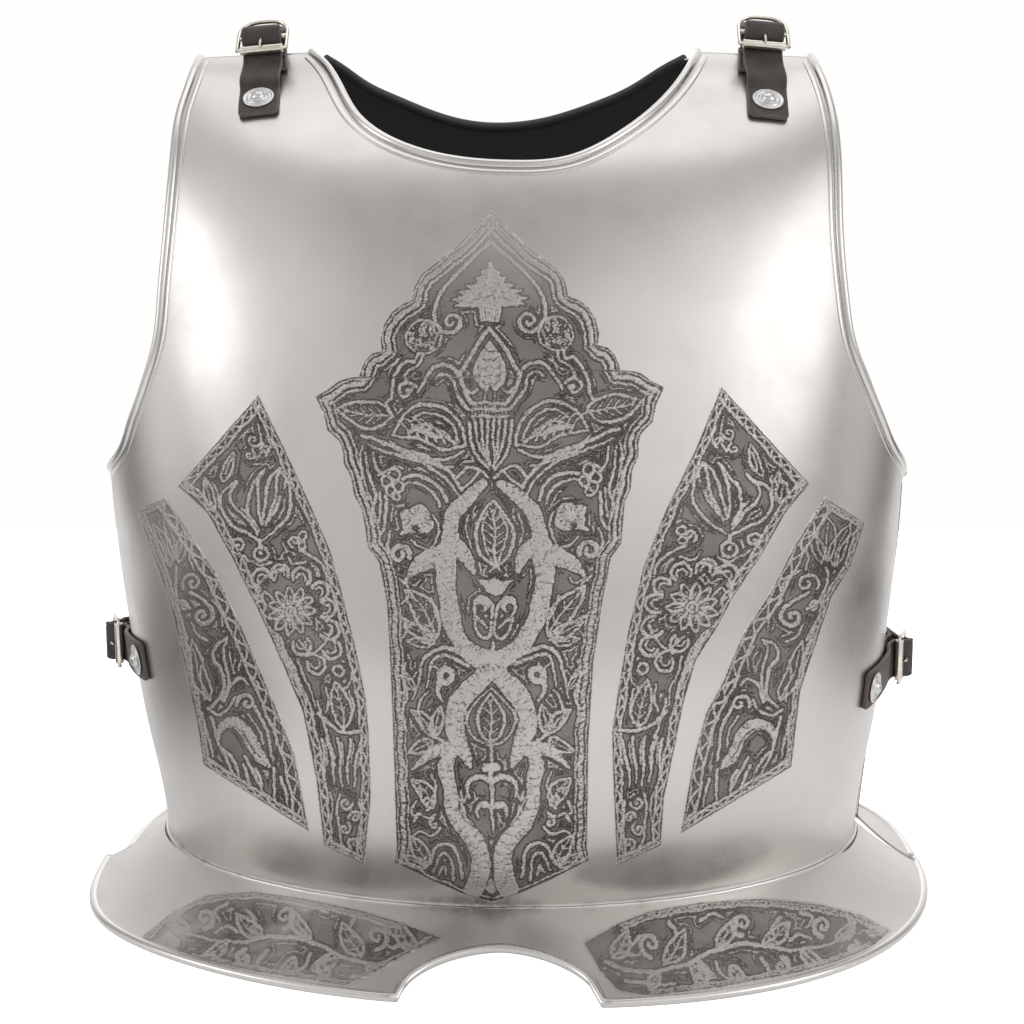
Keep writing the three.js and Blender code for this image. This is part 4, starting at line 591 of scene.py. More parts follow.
def draw_centre(X, Y):
    f = Field(X, Y, 1); both = Pen(f, [a_side(1), a_side(-1)]); one = Pen(f, [a_side(1)]); left = Pen(f, [a_side(-1)])
    h = np.array(HEAD, float); top = h[:20]; low = h[19:]
    # contour lines of the head, rope border of the shaft
    for off, w in ((2.0, 1.5), (7.2, 4.6), (13.6, 2.2)): both.line(offset_path(resample(top, 3.0), off)[1:-2], w, False)
    mid = resample(h[19:30], 3.0); low = resample(h[29:36], 3.0)
    for off, w in ((2.2, 2.0), (7.4, 3.2), (12.6, 1.6)): both.line(offset_path(mid, off)[2:], w, False)
    both.line(offset_path(low, 2.0), 1.3, False); rope = offset_path(low, 7.0); both.line(rope, 4.4, False); both.line(offset_path(low, 12.2), 1.5, False)
    for k, (a, b) in enumerate(zip(offset_path(rope, -2.4)[3:-2], offset_path(rope, 2.4)[4:-1])):
        if k % 2 == 0: both.cut([a, b], 0.9, False)
    both.line(offset_path(resample(h[35:], 3.0), 3.2), 1.6, False)
    # inner pointed arch that ends in scrolls
    both.line([(0.6,242.5),(27,266.6),(47.5,288.4),(55,303),(54.5,317),(49,327)], (3.0, 3.4)); both.curl(38.5, 321, 12.5, 35, 1.35, (3.6, 2.6), 0.15)
    # serrated tree on its stem
    both.fill([(0,262),(3.4,270),(9,272),(7,276),(16,278),(12,282.5),(25,285),(18,289),(33,291.5),(24,295),(39,299),(28,302),(36,306),(11,306.5),(10,322),(0,322)])
    for y, d in ((279, 6), (286, 10), (293, 15), (299, 19)): both.cut([(1.5, y - 3), (d, y + 1)], 1.1, False)
    both.cut([(5.5,308),(5,320)], 1.2, False); one.ring(0, 294, 5.5, 1.2); one.cut([(-6,301),(0,297),(6,301)], 1.0)
    # speckled discs
    both.ring(66, 334, 17, 1.8); both.speckle(66, 334, 15, 95, 1.0)
    both.line([(72,350),(76,358),(84,357),(92,367),(97,380),(99,394)], 3.0); both.line([(66,352),(70,361),(78,365)], 2.4)
    # flame leaf in its ogee
    both.line([(0,328.5),(9,341),(19,354),(25,366),(29,374),(27,385),(19,392),(13,389)], (3.4, 3.6, 2.6))
    one.fill([(0,341),(6,349),(13,358),(16,368),(14,380),(8,389),(3,392),(0,386),(-4,392),(-9,388),(-14,379),(-16,368),(-12,357),(-6,349)], True)
    for y, d in ((352, 5), (360, 9), (368, 12), (376, 12), (384, 8)): both.cut([(1.0, y), (d * 0.5, y + 1.5), (d, y - 3)], 1.3)
    both.cut([(2.2,392),(2.4,397)], 1.0, False); one.line([(-5,388),(-5,400)], 1.8); one.line([(5,388),(5,400)], 1.8)
    # shoulders of the flower and their scrolls
    both.line([(16,404),(24,394),(28,380),(36,367),(47.5,362),(58,367),(66,379),(72,389)], (3.2, 3.4, 2.2)); both.line([(22,408),(33,393),(38,378),(47,371),(55,376)], (3.0, 2.0))
    both.curl(84, 387, 10.5, 200, 1.2, (2.8, 2.4), 0.2); both.line([(80,365),(84,372),(83,377)], (2.2, 3.0)); both.curl(80, 386, 4.0, 0, 0.8, (2.2, 1.8))
    # cup
    for y, d in ((403.5, 19), (410, 20), (417, 18)):
        one.line([(-d, y), (d, y - 0.6)], 2.4, False)
    for x in np.arange(-17, 18, 3.2): one.line([(x, 404), (x + 0.4, 416)], 0.9, False)
    for d in (3, 9, 15): both.line([(d, 420), (d * 0.95, 436), (d * 0.35 + 2, 455), (1.5, 468)], (2.6, 1.6))
    both.line([(21,421),(20,438),(12,458),(3,470)], (3.0, 2.0))
    # acanthus leaves
    both.line([(25,444),(31,421),(49,404.5),(70,402),(86,412),(98,431)], (2.6, 3.4, 2.2)); both.line([(25,445),(48,447),(72,435),(98,431)], (2.6, 2.8, 2.0))
    both.line([(32,441),(38,424),(53,412),(68,410),(79,418)], (2.2, 2.4, 1.6)); both.line([(34,443),(50,430),(66,421),(82,426)], (1.8, 2.6, 1.6)); both.fill([(46,437),(58,428),(70,424),(84,428),(70,430),(58,435)], True)
    for k in range(6):
        t = 0.1 + 0.14 * k; x0, y0 = 30 + 62 * t, 444 - 14 * t; both.line([(x0, y0), (x0 + 7, y0 - 9 - 6 * math.sin(3.1 * t)), (x0 + 16, y0 - 14 - 10 * math.sin(3.1 * t))], (2.2, 1.2))
    both.line([(100,436),(84,450),(62,456),(40,456),(27,450)], (1.6, 3.2, 2.2)); both.line([(92,446),(76,455),(56,462),(38,466)], (1.4, 2.4, 1.6))
    # veined leaves in the corners
    both.leaf(97, 411, 152, 401, 27, 2.8, 5, 0.04); both.line([(99,394),(103,400),(98,408)], 2.6)
    # ribbons under the head
    both.line([(30,488),(42,470),(58,458),(76,449),(100,441),(116,432),(128,430)], (3.0, 3.8, 3.0)); both.line([(46,500),(52,487),(62,477),(78,472),(88,474)], (3.0, 3.4)); both.line([(34,476),(24,466),(12,470),(3,478)], 2.6)
    both.line([(12,470),(20,480),(30,488)], 2.4)
    both.line([(34,494),(46,476),(62,464),(80,455),(104,447),(122,438)], (2.2, 2.6, 1.8)); both.line([(52,504),(58,492),(68,483),(82,479),(90,484)], (2.2, 2.4, 1.6)); both.line([(128,440),(131,452),(128,466),(130,480),(124,494)], (1.6, 2.4, 1.6))
    both.line([(60,512),(56,524),(58,538),(64,548)], (1.6, 2.4, 1.4)); both.line([(112,470),(104,466),(96,462),(88,464)], (2.2, 1.6)); both.line([(64,548),(76,544),(84,536)], (2.0, 1.4))
    # rosettes at the sides
    for dx, dy, r in ((97,470,5.5),(104,477,5.5),(101,486,5),(92,482,5),(96,492,4)): both.ring(dx, dy, r, 2.2, 1.0, 12); 
    both.dot(98, 479, 2.4)
    both.line([(118,446),(116,458),(112,466),(108,470)], (2.0, 2.8)); both.line([(126,446),(123,462),(120,476),(117,492),(120,508),(116,520)], (1.6, 3.0, 2.0)); both.line([(107,492),(107,508),(109,522),(114,529)], (3.2, 2.6)); both.line([(113,488),(112,505),(114,517)], 2.0)
    # blossoms beside the upper strap
    both.dot(74, 513, 11); both.dot(82, 520, 9); both.dot(70, 522, 9); both.dot(87, 511, 6); both.line([(84,525),(93,531)], (5, 2)); both.hole(79, 525, 3.4)
    for a in range(0, 360, 24): both.cut([(76 + 7 * math.cos(math.radians(a)), 515 + 6 * math.sin(math.radians(a))), (76 + 13 * math.cos(math.radians(a)), 516 + 12 * math.sin(math.radians(a)))], 1.0, False)
    both.curl(95, 551, 11, 160, 1.15, (4.6, 3.6), 0.3); both.line([(104,528),(107,540),(105,551)], (2.0, 3.0))
    # upper strapwork
    both.band([(9,484,9),(24,496,13),(38,510,15),(44,526,15),(45,541,17),(49,556,22),(49,578,18),(46,602,18),(39,628,17),(26,648,17),(8,660,20),(0,664,24)])
    both.band([(50,553,20),(64,557,18),(76,563,14),(85,572,6),(92,580,2)]); both.band([(44,540,13),(34,549,14),(26,560,11),(22,571,5)])
    # almond medallions
    one.leaf(0, 566, 0, 500, 38, 3.2, 6, 0.0); both.line([(2,562),(10,545),(12,528),(6,512)], 1.6); both.line([(0,564),(6,572)], (2.6, 1.4)); both.line([(25,514),(28,530),(24,546)], (1.4, 1.2))
    one.leaf(0, 746, 0, 688, 48, 2.0, 0, 0.0, False); one.leaf(0, 742, 0, 694, 27, 3.0, 4, 0.0); one.line([(0,742),(0,768)], (2.4, 3.4))
    # cup and twin curls between the straps
    one.fill([(-19,580),(-8,581),(0,577),(8,581),(19,580),(12,586),(7,593),(0,596),(-7,593),(-12,586)]); both.dot(13, 603, 8); both.hole(15, 607, 4.2); both.line([(8,599),(3,606),(2,618)], (4, 2.4)); both.line([(20,606),(20,613),(15,618)], (3, 1.6))
    both.line([(20,618),(16,630),(9,638),(2,634),(2,622)], (2.0, 3.0, 2.2)); both.line([(20,618),(12,621),(6,628)], 2.0); one.line([(0,642),(0,650)], (2.4, 4.6))
    # leaf sprays at the sides
    both.leaf(56, 636, 90, 586, 22, 2.8, 3, -0.06); both.leaf(58, 641, 90, 622, 12, 2.2, 2, -0.05); both.leaf(60, 642, 86, 639, 9, 2.0, 0, 0.0)
    both.line([(24,656),(42,648),(56,648),(68,658),(72,676),(78,697)], (4.0, 3.4, 1.6)); both.line([(24,664),(44,655),(56,656),(62,668),(64,686)], (3.6, 2.8, 1.4))
    both.comma(46, 674, 9.5, [(52,682),(52,692),(47,700)], 8)
    for y, w in ((575, 1), (612, 1), (668, 1)): both.line([(96, y), (88, y + 8), (86, y + 18), (92, y + 26)], (1.6, 2.2, 1.4)); both.line([(90, y + 4), (80, y + 8), (74, y + 2)], (1.8, 1.2))
    both.line([(62,690),(70,700),(72,716),(66,726)], (1.8, 2.4, 1.4)); both.line([(86,660),(88,676),(84,694),(88,710),(86,726)], (1.6, 2.4, 2.0)); both.leaf(78, 688, 86, 668, 8, 1.8, 0, 0.05); both.line([(58,664),(50,668),(46,662)], (2.0, 1.4))
    both.line([(64,596),(60,608),(54,620)], (1.6, 2.4)); both.line([(28,700),(24,712),(26,722)], (1.4, 2.0)); both.line([(88,760),(84,772),(88,786)], (1.6, 2.2)); both.line([(60,772),(56,784),(60,798)], (2.0, 2.4)); both.line([(36,792),(30,806),(33,820)], (1.6, 2.2))
    # crossing and lower loop
    both.band([(0,662,26),(8,676,18),(22,689,19),(33,704,19),(37,720,18),(33,738,17),(26,753,13),(22,765,4)])
    both.band([(33,742,10),(38,750,14),(52,748,13),(62,753,10),(71,761,6),(79,767,2)]); both.band([(42,752,12),(45,766,15),(42,784,14),(40,805,13),(33,822,15),(19,837,18),(11,854,17),(12,872,19),(17,888,20)])
    both.leaf(54, 734, 51, 704, 12, 2.6, 2, 0.05); both.leaf(57, 733, 79, 708, 12, 2.6, 2, -0.06); both.leaf(58, 738, 82, 750, 12, 2.4, 2, 0.06); both.line([(40,744),(50,738),(57,734)], 3.4)
    # lower flower
    one.line([(0,765),(0,800),(1,832)], (5, 3.6, 1.6)); both.line([(0,782),(9,776),(18,777),(24,785),(23,797)], (5, 5.4, 2)); both.dot(5, 767, 4.5); both.line([(0,806),(10,803),(15,809),(13,817)], (4, 5, 1.6)); both.dot(7, 804, 4)
    both.line([(31,790),(29,800),(25,793)], (2.4, 1.6)); both.line([(29,806),(25,817),(18,823)], (3.0, 1.6))
    # foliage low at the sides
    both.leaf(58, 806, 79, 777, 15, 2.6, 3, -0.08); both.curl(64, 800, 7.5, 90, 1.2, (2.8, 2.2)); both.line([(56,812),(64,816),(73,812),(77,820)], 2.6); both.curl(58, 822, 6, -90, 1.1, (2.6, 2.0)); both.line([(76,800),(80,810),(74,816)], 2.2)
    both.curl(74, 789, 4.5, 120, 1.0, (2.2, 1.8)); both.line([(52,826),(60,834),(72,830),(80,834)], (2.6, 2.0))
    both.leaf(64, 864, 82, 834, 14, 2.6, 3, -0.05); both.line([(30,876),(34,852),(44,842),(56,846),(62,862)], (3.2, 3.0, 2.0)); both.line([(38,878),(41,858),(48,851),(54,857),(58,870)], (2.6, 2.4, 1.6)); both.line([(45,874),(48,864),(52,872)], 2.2)
    both.leaf(66, 866, 88, 852, 9, 2.2, 1, 0.0); one.fill([(0,876),(6,888),(0,893),(-6,888)]); one.cut([(-4,886),(0,881),(4,886)], 1.0, False)
    return f.F

def draw_inner(X, Y, mp, P, seed):
    f = Field(X, Y, seed); p = Pen(f, [mp])
    l, r = np.array(P['left'], float), np.array(P['right'], float); q = Pen(f, [same]); mid = lambda a: a[:, 0].mean()
    s = 1 if seed % 2 == 0 else -1      # even seeds: -X panel
    outer, inner = (l, r) if s > 0 else (r, l)
    zigzag(q, outer[:2], 1.6, 9.0, 13, 1.8, -s); zigzag(q, outer[1:-1], 1.8, 8.0, 17, 1.9, -s, (1.6, 2.2)); zigzag(q, inner, 1.8, 8.0, 19, 1.9, s, (1.6, 2.2)); zigzag(q, outer[-2:], 1.2, 6.0, 9, 1.6, -s)
    # curls under the point
    p.curl(255, 440, 7.5, 20, 1.2, (2.4, 2.0)); p.curl(250, 455, 6, -60, 1.1, (2.4, 2.0)); p.curl(266, 450, 5.5, 200, 1.0, (2.2, 1.8)); p.line([(258,424),(262,436),(264,448),(257,458)], (1.6, 2.4)); p.line([(268,436),(272,446),(266,456)], 2.0)
    p.leaf(222, 482, 234, 452, 10, 2.2, 0, 0.06, False); p.leaf(227, 478, 236, 456, 5, 1.8, 0, 0, False); p.leaf(216, 509, 206, 478, 10, 2.4, 0, -0.05); p.line([(221,508),(219,493),(213,482)], 2.0)
    # five-petalled flame flower
    for pts in ([(260,540),(247,533),(233,526),(223,510),(223,494),(237,481)], [(237,482),(231,496),(236,508),(247,518),(256,530)], [(258,534),(250,514),(250,494),(257,480),(265.5,470)], [(265,471),(259,484),(259,502),(262,522)],
                [(263,524),(266,506),(267,490),(272,478),(281,468)], [(281,469),(277,482),(276,498),(272,512),(266,526)], [(281,469),(289,484),(292,500),(289,514),(278,528),(264,540)], [(259,530),(253,518),(243,508)], [(270,520),(278,508),(281,496)]): p.line(pts, (2.6, 3.0, 2.2))
    p.ring(262.5, 554, 7, 2.8); p.dot(262.5, 553, 2.2); p.line([(261,541),(262,547)], 4.0)
    p.curl(240, 546, 8, 200, 1.2, (2.8, 2.2)); p.line([(244,555),(250,561)], 2.2); p.curl(296, 541, 6.5, 120, 1.2, (2.6, 2.2)); p.ring(304, 536, 4, 2.2); p.ring(303, 546, 3.6, 2.0); p.line([(300,551),(312,556),(322,564),(328,580)], (3.0, 2.0))
    # rosette in its scalloped calyx
    for dx, dy, r in ((262,578,9),(281,573,9),(303,577,9),(321,590,8.5),(327,608,9),(330,630,10),(333,650,9),(317,664,9.5),(303,646,9)):
        a = math.degrees(math.atan2(dy - 611, dx - 292)); p.arch(dx, dy, r, r, a - 128, a + 128, 3.0); p.arch(dx - 1.5 * math.cos(math.radians(a)), dy - 1.5 * math.sin(math.radians(a)), r * 0.5, r * 0.5, a - 110, a + 110, 2.0)
    p.clear([(292 + 25 * math.cos(a), 611 + 27 * math.sin(a)) for a in np.linspace(0, 2 * np.pi, 26)[:-1]]); p.rosette(292.5, 611, 24, 11, 2.7)
    p.line([(282,640),(288,660),(296,676),(306,700)], (3.2, 2.2)); p.line([(300,640),(311,652),(320,655)], 2.0); p.line([(276,634),(283,652),(290,668)], 2.4)
    for a0, a1, k in ((150, 215, 36), (215, 262, 40), (20, 70, 44)):
        p.arch(292, 611, k, k + 4, a0, a1, 2.2)
    p.line([(252,560),(262,566),(272,562)], (1.8, 2.2)); p.line([(288,556),(294,564),(306,562)], (1.8, 2.2)); p.line([(274,600),(266,592),(262,600)], (2.0, 1.4)); p.line([(326,686),(330,700),(326,712)], (1.6, 2.4)); p.line([(350,690),(354,706),(350,722)], (1.8, 2.2))
    p.line([(298,660),(304,676),(312,690),(316,706)], (2.2, 1.6)); p.line([(352,672),(350,684),(344,690)], (1.6, 2.0)); p.line([(330,792),(334,806),(332,820)], (1.8, 1.4)); p.line([(280,470),(286,478),(284,488)], (1.6, 2.0))
    # sprays and grasses
    p.ring(339, 671, 5, 2.6); p.leaf(345, 728, 335, 682, 19, 2.8, 4, 0.04); p.line([(318,712),(330,724),(343,731),(362,731)], (3.0, 3.4)); p.line([(318,700),(322,716),(330,738)], 2.4)
    for k, (x, b) in enumerate(((325,2),(333,5),(341,2),(349,-2),(357,-5))): p.line([(x - b, 738), (x, 760), (x + b * 0.5, 786 - 3 * (k % 2))], (2.8, 3.0, 1.6)); p.line([(x - b + 3, 742), (x + 3, 764)], 1.4)
    for x, y, r, a in ((347,802,7.5,0),(355,816,6.5,180),(345,828,7,-60),(355,842,6.5,120),(344,850,5,0)): p.curl(x, y, r, a, 1.25, (2.8, 2.2))
    p.line([(340,794),(338,812),(341,836),(349,856)], 2.4); p.line([(360,800),(362,822),(361,850)], 2.2)
    return f.F

def draw_outer(X, Y, mp, P, seed):
    f = Field(X, Y, seed); p = Pen(f, [mp]); q = Pen(f, [same]); l, r = np.array(P['left'], float), np.array(P['right'], float)
    s = 1 if seed % 2 == 0 else -1; outer, inner = (l, r) if s > 0 else (r, l)
    zigzag(q, inner, 1.8, 11.0, 24, 2.1, s, (1.8, 2.4)); k = 1; zigzag(q, outer[:2], 1.5, 6.0, 9, 1.6, -s)
    zigzag(q, outer[1:-1], 1.6, 5.6, 14, 1.3, -s, (1.4, 1.7)); zigzag(q, outer[-2:], 1.6, 7.0, 15, 1.8, -s)
    # pointed leaves
    p.leaf(176, 560, 166, 516, 14, 1.9, 0, 0.06); p.leaf(172, 566, 154, 524, 12, 1.7, 0, 0.04); p.leaf(181, 562, 186, 530, 9, 1.8, 0, -0.05, False); p.line([(170,566),(163,546),(150,530)], 1.6)
    # scrolls
    p.line([(178,566),(176,584),(180,600),(192,608)], (2.4, 2.6)); p.curl(193, 583, 11, 150, 1.35, (3.0, 2.2)); p.curl(203, 616, 11.5, -40, 1.3, (4.2, 3.0)); p.line([(190,592),(202,598),(212,608)], (2.4, 3.6)); p.curl(185, 606, 7, 200, 1.1, (2.4, 1.8)); p.line([(178,592),(181,618),(190,640)], 2.0)
    p.line([(200,570),(210,578),(216,592)], 2.0)
    # flame and S-shaped leaves
    p.line([(214,706),(224,690),(222,668),(214,658),(216,646),(228,638)], (2.8, 3.4, 2.2)); p.line([(228,639),(224,650),(228,668),(229,684),(224,698)], (2.2, 2.8)); p.leaf(211, 700, 194, 640, 15, 2.2, 0, -0.06); p.line([(206,700),(202,676),(204,658)], 1.8)
    p.line([(226,700),(232,684),(243,678),(250,684)], (3.0, 3.2, 1.8)); p.line([(210,708),(220,714),(230,708),(236,698)], 2.4)
    p.curl(248, 702, 10, 160, 1.25, (3.4, 2.6)); p.line([(256,706),(264,722),(270,740),(274,760)], (3.2, 2.4)); p.line([(250,714),(259,728),(264,744)], 2.0)
    p.line([(196,570),(190,556),(194,544),(202,552)], (1.6, 2.2, 1.4)); p.line([(214,600),(222,612),(224,626)], (2.0, 1.4)); p.line([(192,622),(198,634),(208,640)], (1.6, 2.4)); p.line([(236,644),(242,656),(240,670)], (1.8, 1.4)); p.line([(262,690),(258,680),(250,674)], (1.8, 2.2))
    p.line([(204,712),(206,726),(212,742),(214,756)], (1.8, 2.4, 1.6)); p.line([(268,716),(274,728),(278,744)], (2.2, 1.6)); p.line([(234,778),(244,790),(258,798)], (1.8, 2.4)); p.line([(186,636),(190,650),(188,664)], (1.4, 2.0))
    # ribbed arching leaf
    p.band([(219,736,5),(224,726,9),(235,722,11),(246,730,11),(254,744,11),(263,758,10),(270,766,3)], 1.4); p.cut([(222,733),(232,726),(242,730),(252,744),(262,757)], 1.4)
    for pts in ([(222,748),(230,754),(238,768),(241,778)], [(212,716),(218,736),(226,756),(236,776)], [(246,756),(254,772),(262,786)], [(256,768),(262,780),(264,794)], [(274,768),(276,784),(275,800)], [(244,764),(250,780),(253,788)], [(282,776),(286,790),(288,804)]): p.line(pts, (3.0, 2.8, 1.6))
    return f.F

D_LEFT = [(139,940),(172.6,911),(206,896),(254,892),(304,899),(360,911),(403,924),(440,938),(404,955),(378,970),(346,985),(318,981),(254,971),(192,959)]
D_RIGHT = [(585,943),(618,924),(650,912),(700,903),(760,899),(820,905),(860,915),(890,930),(872,947),(836,962),(790,974),(720,987),(650,996),(618,990),(600,970)]
def draw_skirt(X, Y, P, right):
    f = Field(X, Y, 7 if right else 8); m = (lambda x, y: (np.asarray(x, float), np.asarray(y, float))) if right else (lambda x, y: (1027 - np.asarray(x, float) * 1.0, np.asarray(y, float) - 8))
    p = Pen(f, [m]); q = Pen(f, [same]); P = np.array(P, float)
    if right: zigzag(q, P[1:8], 1.5, 6.5, 11, 1.7, 1); zigzag(q, P[8:13], 1.5, 5.0, 13, 1.4, 1, (1.4, 2.0))
    else: zigzag(q, P[0:7], 1.5, 5.5, 12, 1.4, 1); zigzag(q, P[10:14], 1.5, 4.5, 14, 1.2, 1, (1.2, 1.8)); q.line([(430,936),(404,952),(378,966),(350,982)], 2.4)
    # scroll leaves running out from the middle
    p.line([(605,962),(640,972),(680,966),(716,950),(750,944),(790,950),(830,944),(866,930)], (4.0, 4.6, 2.0))
    for x, y, r, a in ((650,944,13,90),(700,978,10,-90),(742,924,12,90),(782,966,9,-90),(822,926,11,90),(852,948,7,-60)): p.curl(x, y, r, a, 1.3, (5.0, 3.4))
    for a in ((612,958,628,930,12),(664,964,684,930,14),(690,962,716,978,11),(716,946,736,908 + 8,10),(764,944,790,922,12),(800,950,826,966,10),(836,940,856,922,9),(660,974,648,990,9),(730,966,748,982,8),(868,932,884,930,7)): p.leaf(*a[:4], a[4] * 1.25, 3.4, 3, 0.08)
    for pts in ([(626,980),(650,984),(676,984)], [(760,958),(770,972),(762,978)], [(700,920),(712,914),(722,918)], [(800,912),(812,918),(806,928)], [(620,950),(634,956),(642,952)], [(790,940),(800,934),(812,940)], [(668,922),(676,934),(672,944)], [(716,962),(722,974),(734,980)], [(846,916),(852,928),(846,938)], [(640,936),(632,944),(622,944)], [(780,918),(772,928),(776,938)], [(690,990),(704,986),(716,990)], [(806,968),(816,962),(828,966)]): p.line(pts, (4.0, 2.4))
    return f.F

# ------------------------------------------------------------------ etched panels
def px_to_plate(X, Y, plate=None):
    """surface parameters of the breast under the drawing's places"""
    plate = plate or breast; X = np.asarray(X, float); Y = np.asarray(Y, float)
    v = plate.v_of_z(np.clip(222 - (Y - 460) * 0.53, 27, 427)); th = plate.th_of_x(np.clip((X - 512) / 1.95 + 1.5, -198, 198), v)
    for _ in range(7):
        p0 = to_px(plate.point(th, v)); pa = to_px(plate.point(th + 1e-3, v)); pb = to_px(plate.point(th, v + 0.2))
        a, b, c, d = (pa[..., 0] - p0[..., 0]) / 1e-3, (pb[..., 0] - p0[..., 0]) / 0.2, (pa[..., 1] - p0[..., 1]) / 1e-3, (pb[..., 1] - p0[..., 1]) / 0.2
        ex, ey = X - p0[..., 0], Y - p0[..., 1]; det = a * d - b * c; det = np.where(np.abs(det) < 1e-6, 1e-6, det)
        th = np.clip(th + np.clip((ex * d - ey * b) / det, -0.2, 0.2), -1.5, 1.5); v = np.clip(v + np.clip((a * ey - c * ex) / det, -25, 25), 0.0, plate.vmax)
    return th, v

def inside_distance(X, Y, P):
    """distance to the closed outline P, above zero inside"""
    P = np.asarray(P, float); out = np.full(X.shape, 1e9); ins = np.zeros(X.shape, bool)
    for a, b in zip(P, np.roll(P, -1, 0)):
        d = b - a; L = max(1e-9, (d ** 2).sum()); t = np.clip(((X - a[0]) * d[0] + (Y - a[1]) * d[1]) / L, 0, 1)
        out = np.minimum(out, np.hypot(X - a[0] - t * d[0], Y - a[1] - t * d[1])); ins ^= ((a[1] > Y) != (b[1] > Y)) & (X < (b[0] - a[0]) * (Y - a[1]) / (b[1] - a[1] + 1e-12) + a[0])
    return np.where(ins, out, -out)

def kept(faces, D, lim=-1.6):
    """the faces of a grid that touch the inside of the outline"""
    return faces[(D.ravel()[faces] > lim).any(1)]
def trimmed(name, V, F, mats, attrs):
    used = np.unique(F); new = np.full(len(V), -1); new[used] = np.arange(len(used)); return mesh_object(name, V[used], new[F], mats, attrs={k: np.ravel(a)[used] for k, a in attrs.items()})
def smooth01(x, a, b): t = np.clip((x - a) / (b - a), 0, 1); return t * t * (3 - 2 * t)
def relief(F, D): return 0.05 + 0.20 * (1 - smooth01(F, -0.9, 0.7))
def worn(X, Y):
    """how far the etching has been polished away: the tip of the head, the outer panel on the -X side"""
    n = 0.5 + 0.25 * np.sin(X * 0.041 + 2 * np.sin(Y * 0.023)) + 0.25 * np.sin(Y * 0.052 + 1.7 * np.sin(X * 0.031))
    a = 0.95 * smooth01(-Y, -330, -225) * smooth01(Y, 100, 200); b = 0.75 * smooth01(-X, -235, -150) * (Y < 840) * smooth01(-Y, -760, -560); return np.clip(a + b + 0.18 * n, 0, 1)
def etched_grid(name, L, R, y0, y1, nr, nc, draw, outline):
    L, R = np.asarray(L, float), np.asarray(R, float); y = np.linspace(y0, y1, nr)
    l = np.interp(y, L[:, 1], L[:, 0]) - 1.3; r = np.interp(y, R[:, 1], R[:, 0]) + 1.3
    X = l[:, None] + (r - l)[:, None] * np.linspace(0, 1, nc)[None]; Y = np.broadcast_to(y[:, None], X.shape).copy()
    F = echo(X, Y, draw(X.ravel(), Y.ravel()).reshape(X.shape)); D = inside_distance(X, Y, outline)
    th, v = px_to_plate(X, Y); P = breast.point(th, v); N = breast.normal(th, v)
    h = 0.02 + relief(F, D) * smooth01(D, -1.0, 1.2)
    return trimmed(name, (P + N * (HALF + h)[..., None]).reshape(-1, 3), kept(grid_faces(nr, nc, flip=True), D), (M_ETCH,), {'f': F, 'd': D, 'worn': worn(X, Y)})

def etched_material(name, wear=0.0):
    N = Nodes(name); co = N.coord(); f, d, worn = N.attr('f'), N.attr('d'), N.attr('worn')
    rag = N.noise(scaled(N, co, (650, 650, 1900)), 1.0, 3, 0.6); pit = N.noise(co, 2300.0, 2, 0.6); grain = N.noise(co, 900.0, 3, 0.65); cloud = N.noise(co, 26.0, 3, 0.6); wide = N.noise(co, 9.0, 2, 0.5)
    f2 = N.math('ADD', f, N.math('MULTIPLY', N.math('SUBTRACT', rag, 0.5), 4.4)); f2 = N.math('ADD', f2, N.math('MULTIPLY', N.math('SUBTRACT', grain, 0.5), 1.4))
    line = N.range(f2, 0.55, -0.65, smooth=True)
    edge = N.math('MULTIPLY', N.range(N.math('ABSOLUTE', N.math('SUBTRACT', f2, 1.0)), 1.45, 0.15, smooth=True), N.math('SUBTRACT', 1.0, line))
    ground = N.mix(N.range(cloud, 0.3, 0.7), (0.170, 0.161, 0.153), (0.250, 0.238, 0.227)); ground = N.mix(N.range(pit, 0.52, 0.68, 0.0, 0.32), ground, (0.12, 0.112, 0.106)); ground = N.mix(N.range(grain, 0.58, 0.70, 0.0, 0.26), ground, (0.44, 0.42, 0.40))
    ground = N.mix(N.math('MULTIPLY', edge, 0.92), ground, (0.042, 0.038, 0.035))
    bright = N.mix(N.range(wide, 0.35, 0.65), (0.49, 0.47, 0.452), (0.585, 0.565, 0.545)); speck = N.math('MULTIPLY', N.range(grain, 0.50, 0.64, 0.0, 0.85), N.range(f, -5.0, -1.0, 0.12, 1.0)); bright = N.mix(speck, bright, (0.13, 0.12, 0.112))
    col = N.mix(line, ground, bright); tone = N.mix(N.range(cloud, 0.35, 0.65), (0.41, 0.393, 0.378), (0.50, 0.482, 0.465))
    fade = N.math('ADD', N.math('MULTIPLY', worn, 0.72), N.range(N.noise(co, 34.0, 3, 0.6), 0.42, 0.66, 0.0, wear), clamp=True)
    col = N.mix(fade, col, tone)
    dr = N.math('ADD', d, N.math('MULTIPLY', N.math('SUBTRACT', rag, 0.5), 3.6)); inn = N.range(dr, -0.7, 0.5, smooth=True); lip = N.range(N.math('ABSOLUTE', N.math('SUBTRACT', dr, 0.6)), 0.9, 0.1, 0.0, 0.6, smooth=True)
    lip = N.math('MULTIPLY', lip, N.math('SUBTRACT', 1.0, N.math('MULTIPLY', worn, 0.9))); col = N.mix(lip, col, (0.12, 0.11, 0.105)); col = N.mix(inn, (0.60, 0.575, 0.555), col)
    rough = N.math('ADD', N.range(line, 0, 1, 0.50, 0.34), N.range(pit, 0.3, 0.7, -0.05, 0.08)); rough = N.math('ADD', N.math('MULTIPLY', rough, inn), N.math('MULTIPLY', N.math('SUBTRACT', 1.0, inn), 0.31))
    hgt = N.math('ADD', N.range(f2, 1.2, -1.0, 0.0, 1.0, smooth=True), N.math('MULTIPLY', pit, 0.45))
    N.set(Base_Color=col, Metallic=1.0, Roughness=rough, Normal=N.bump(hgt, 0.5, 0.0004)); return N.m
M_ETCH = etched_material('steel_etched')
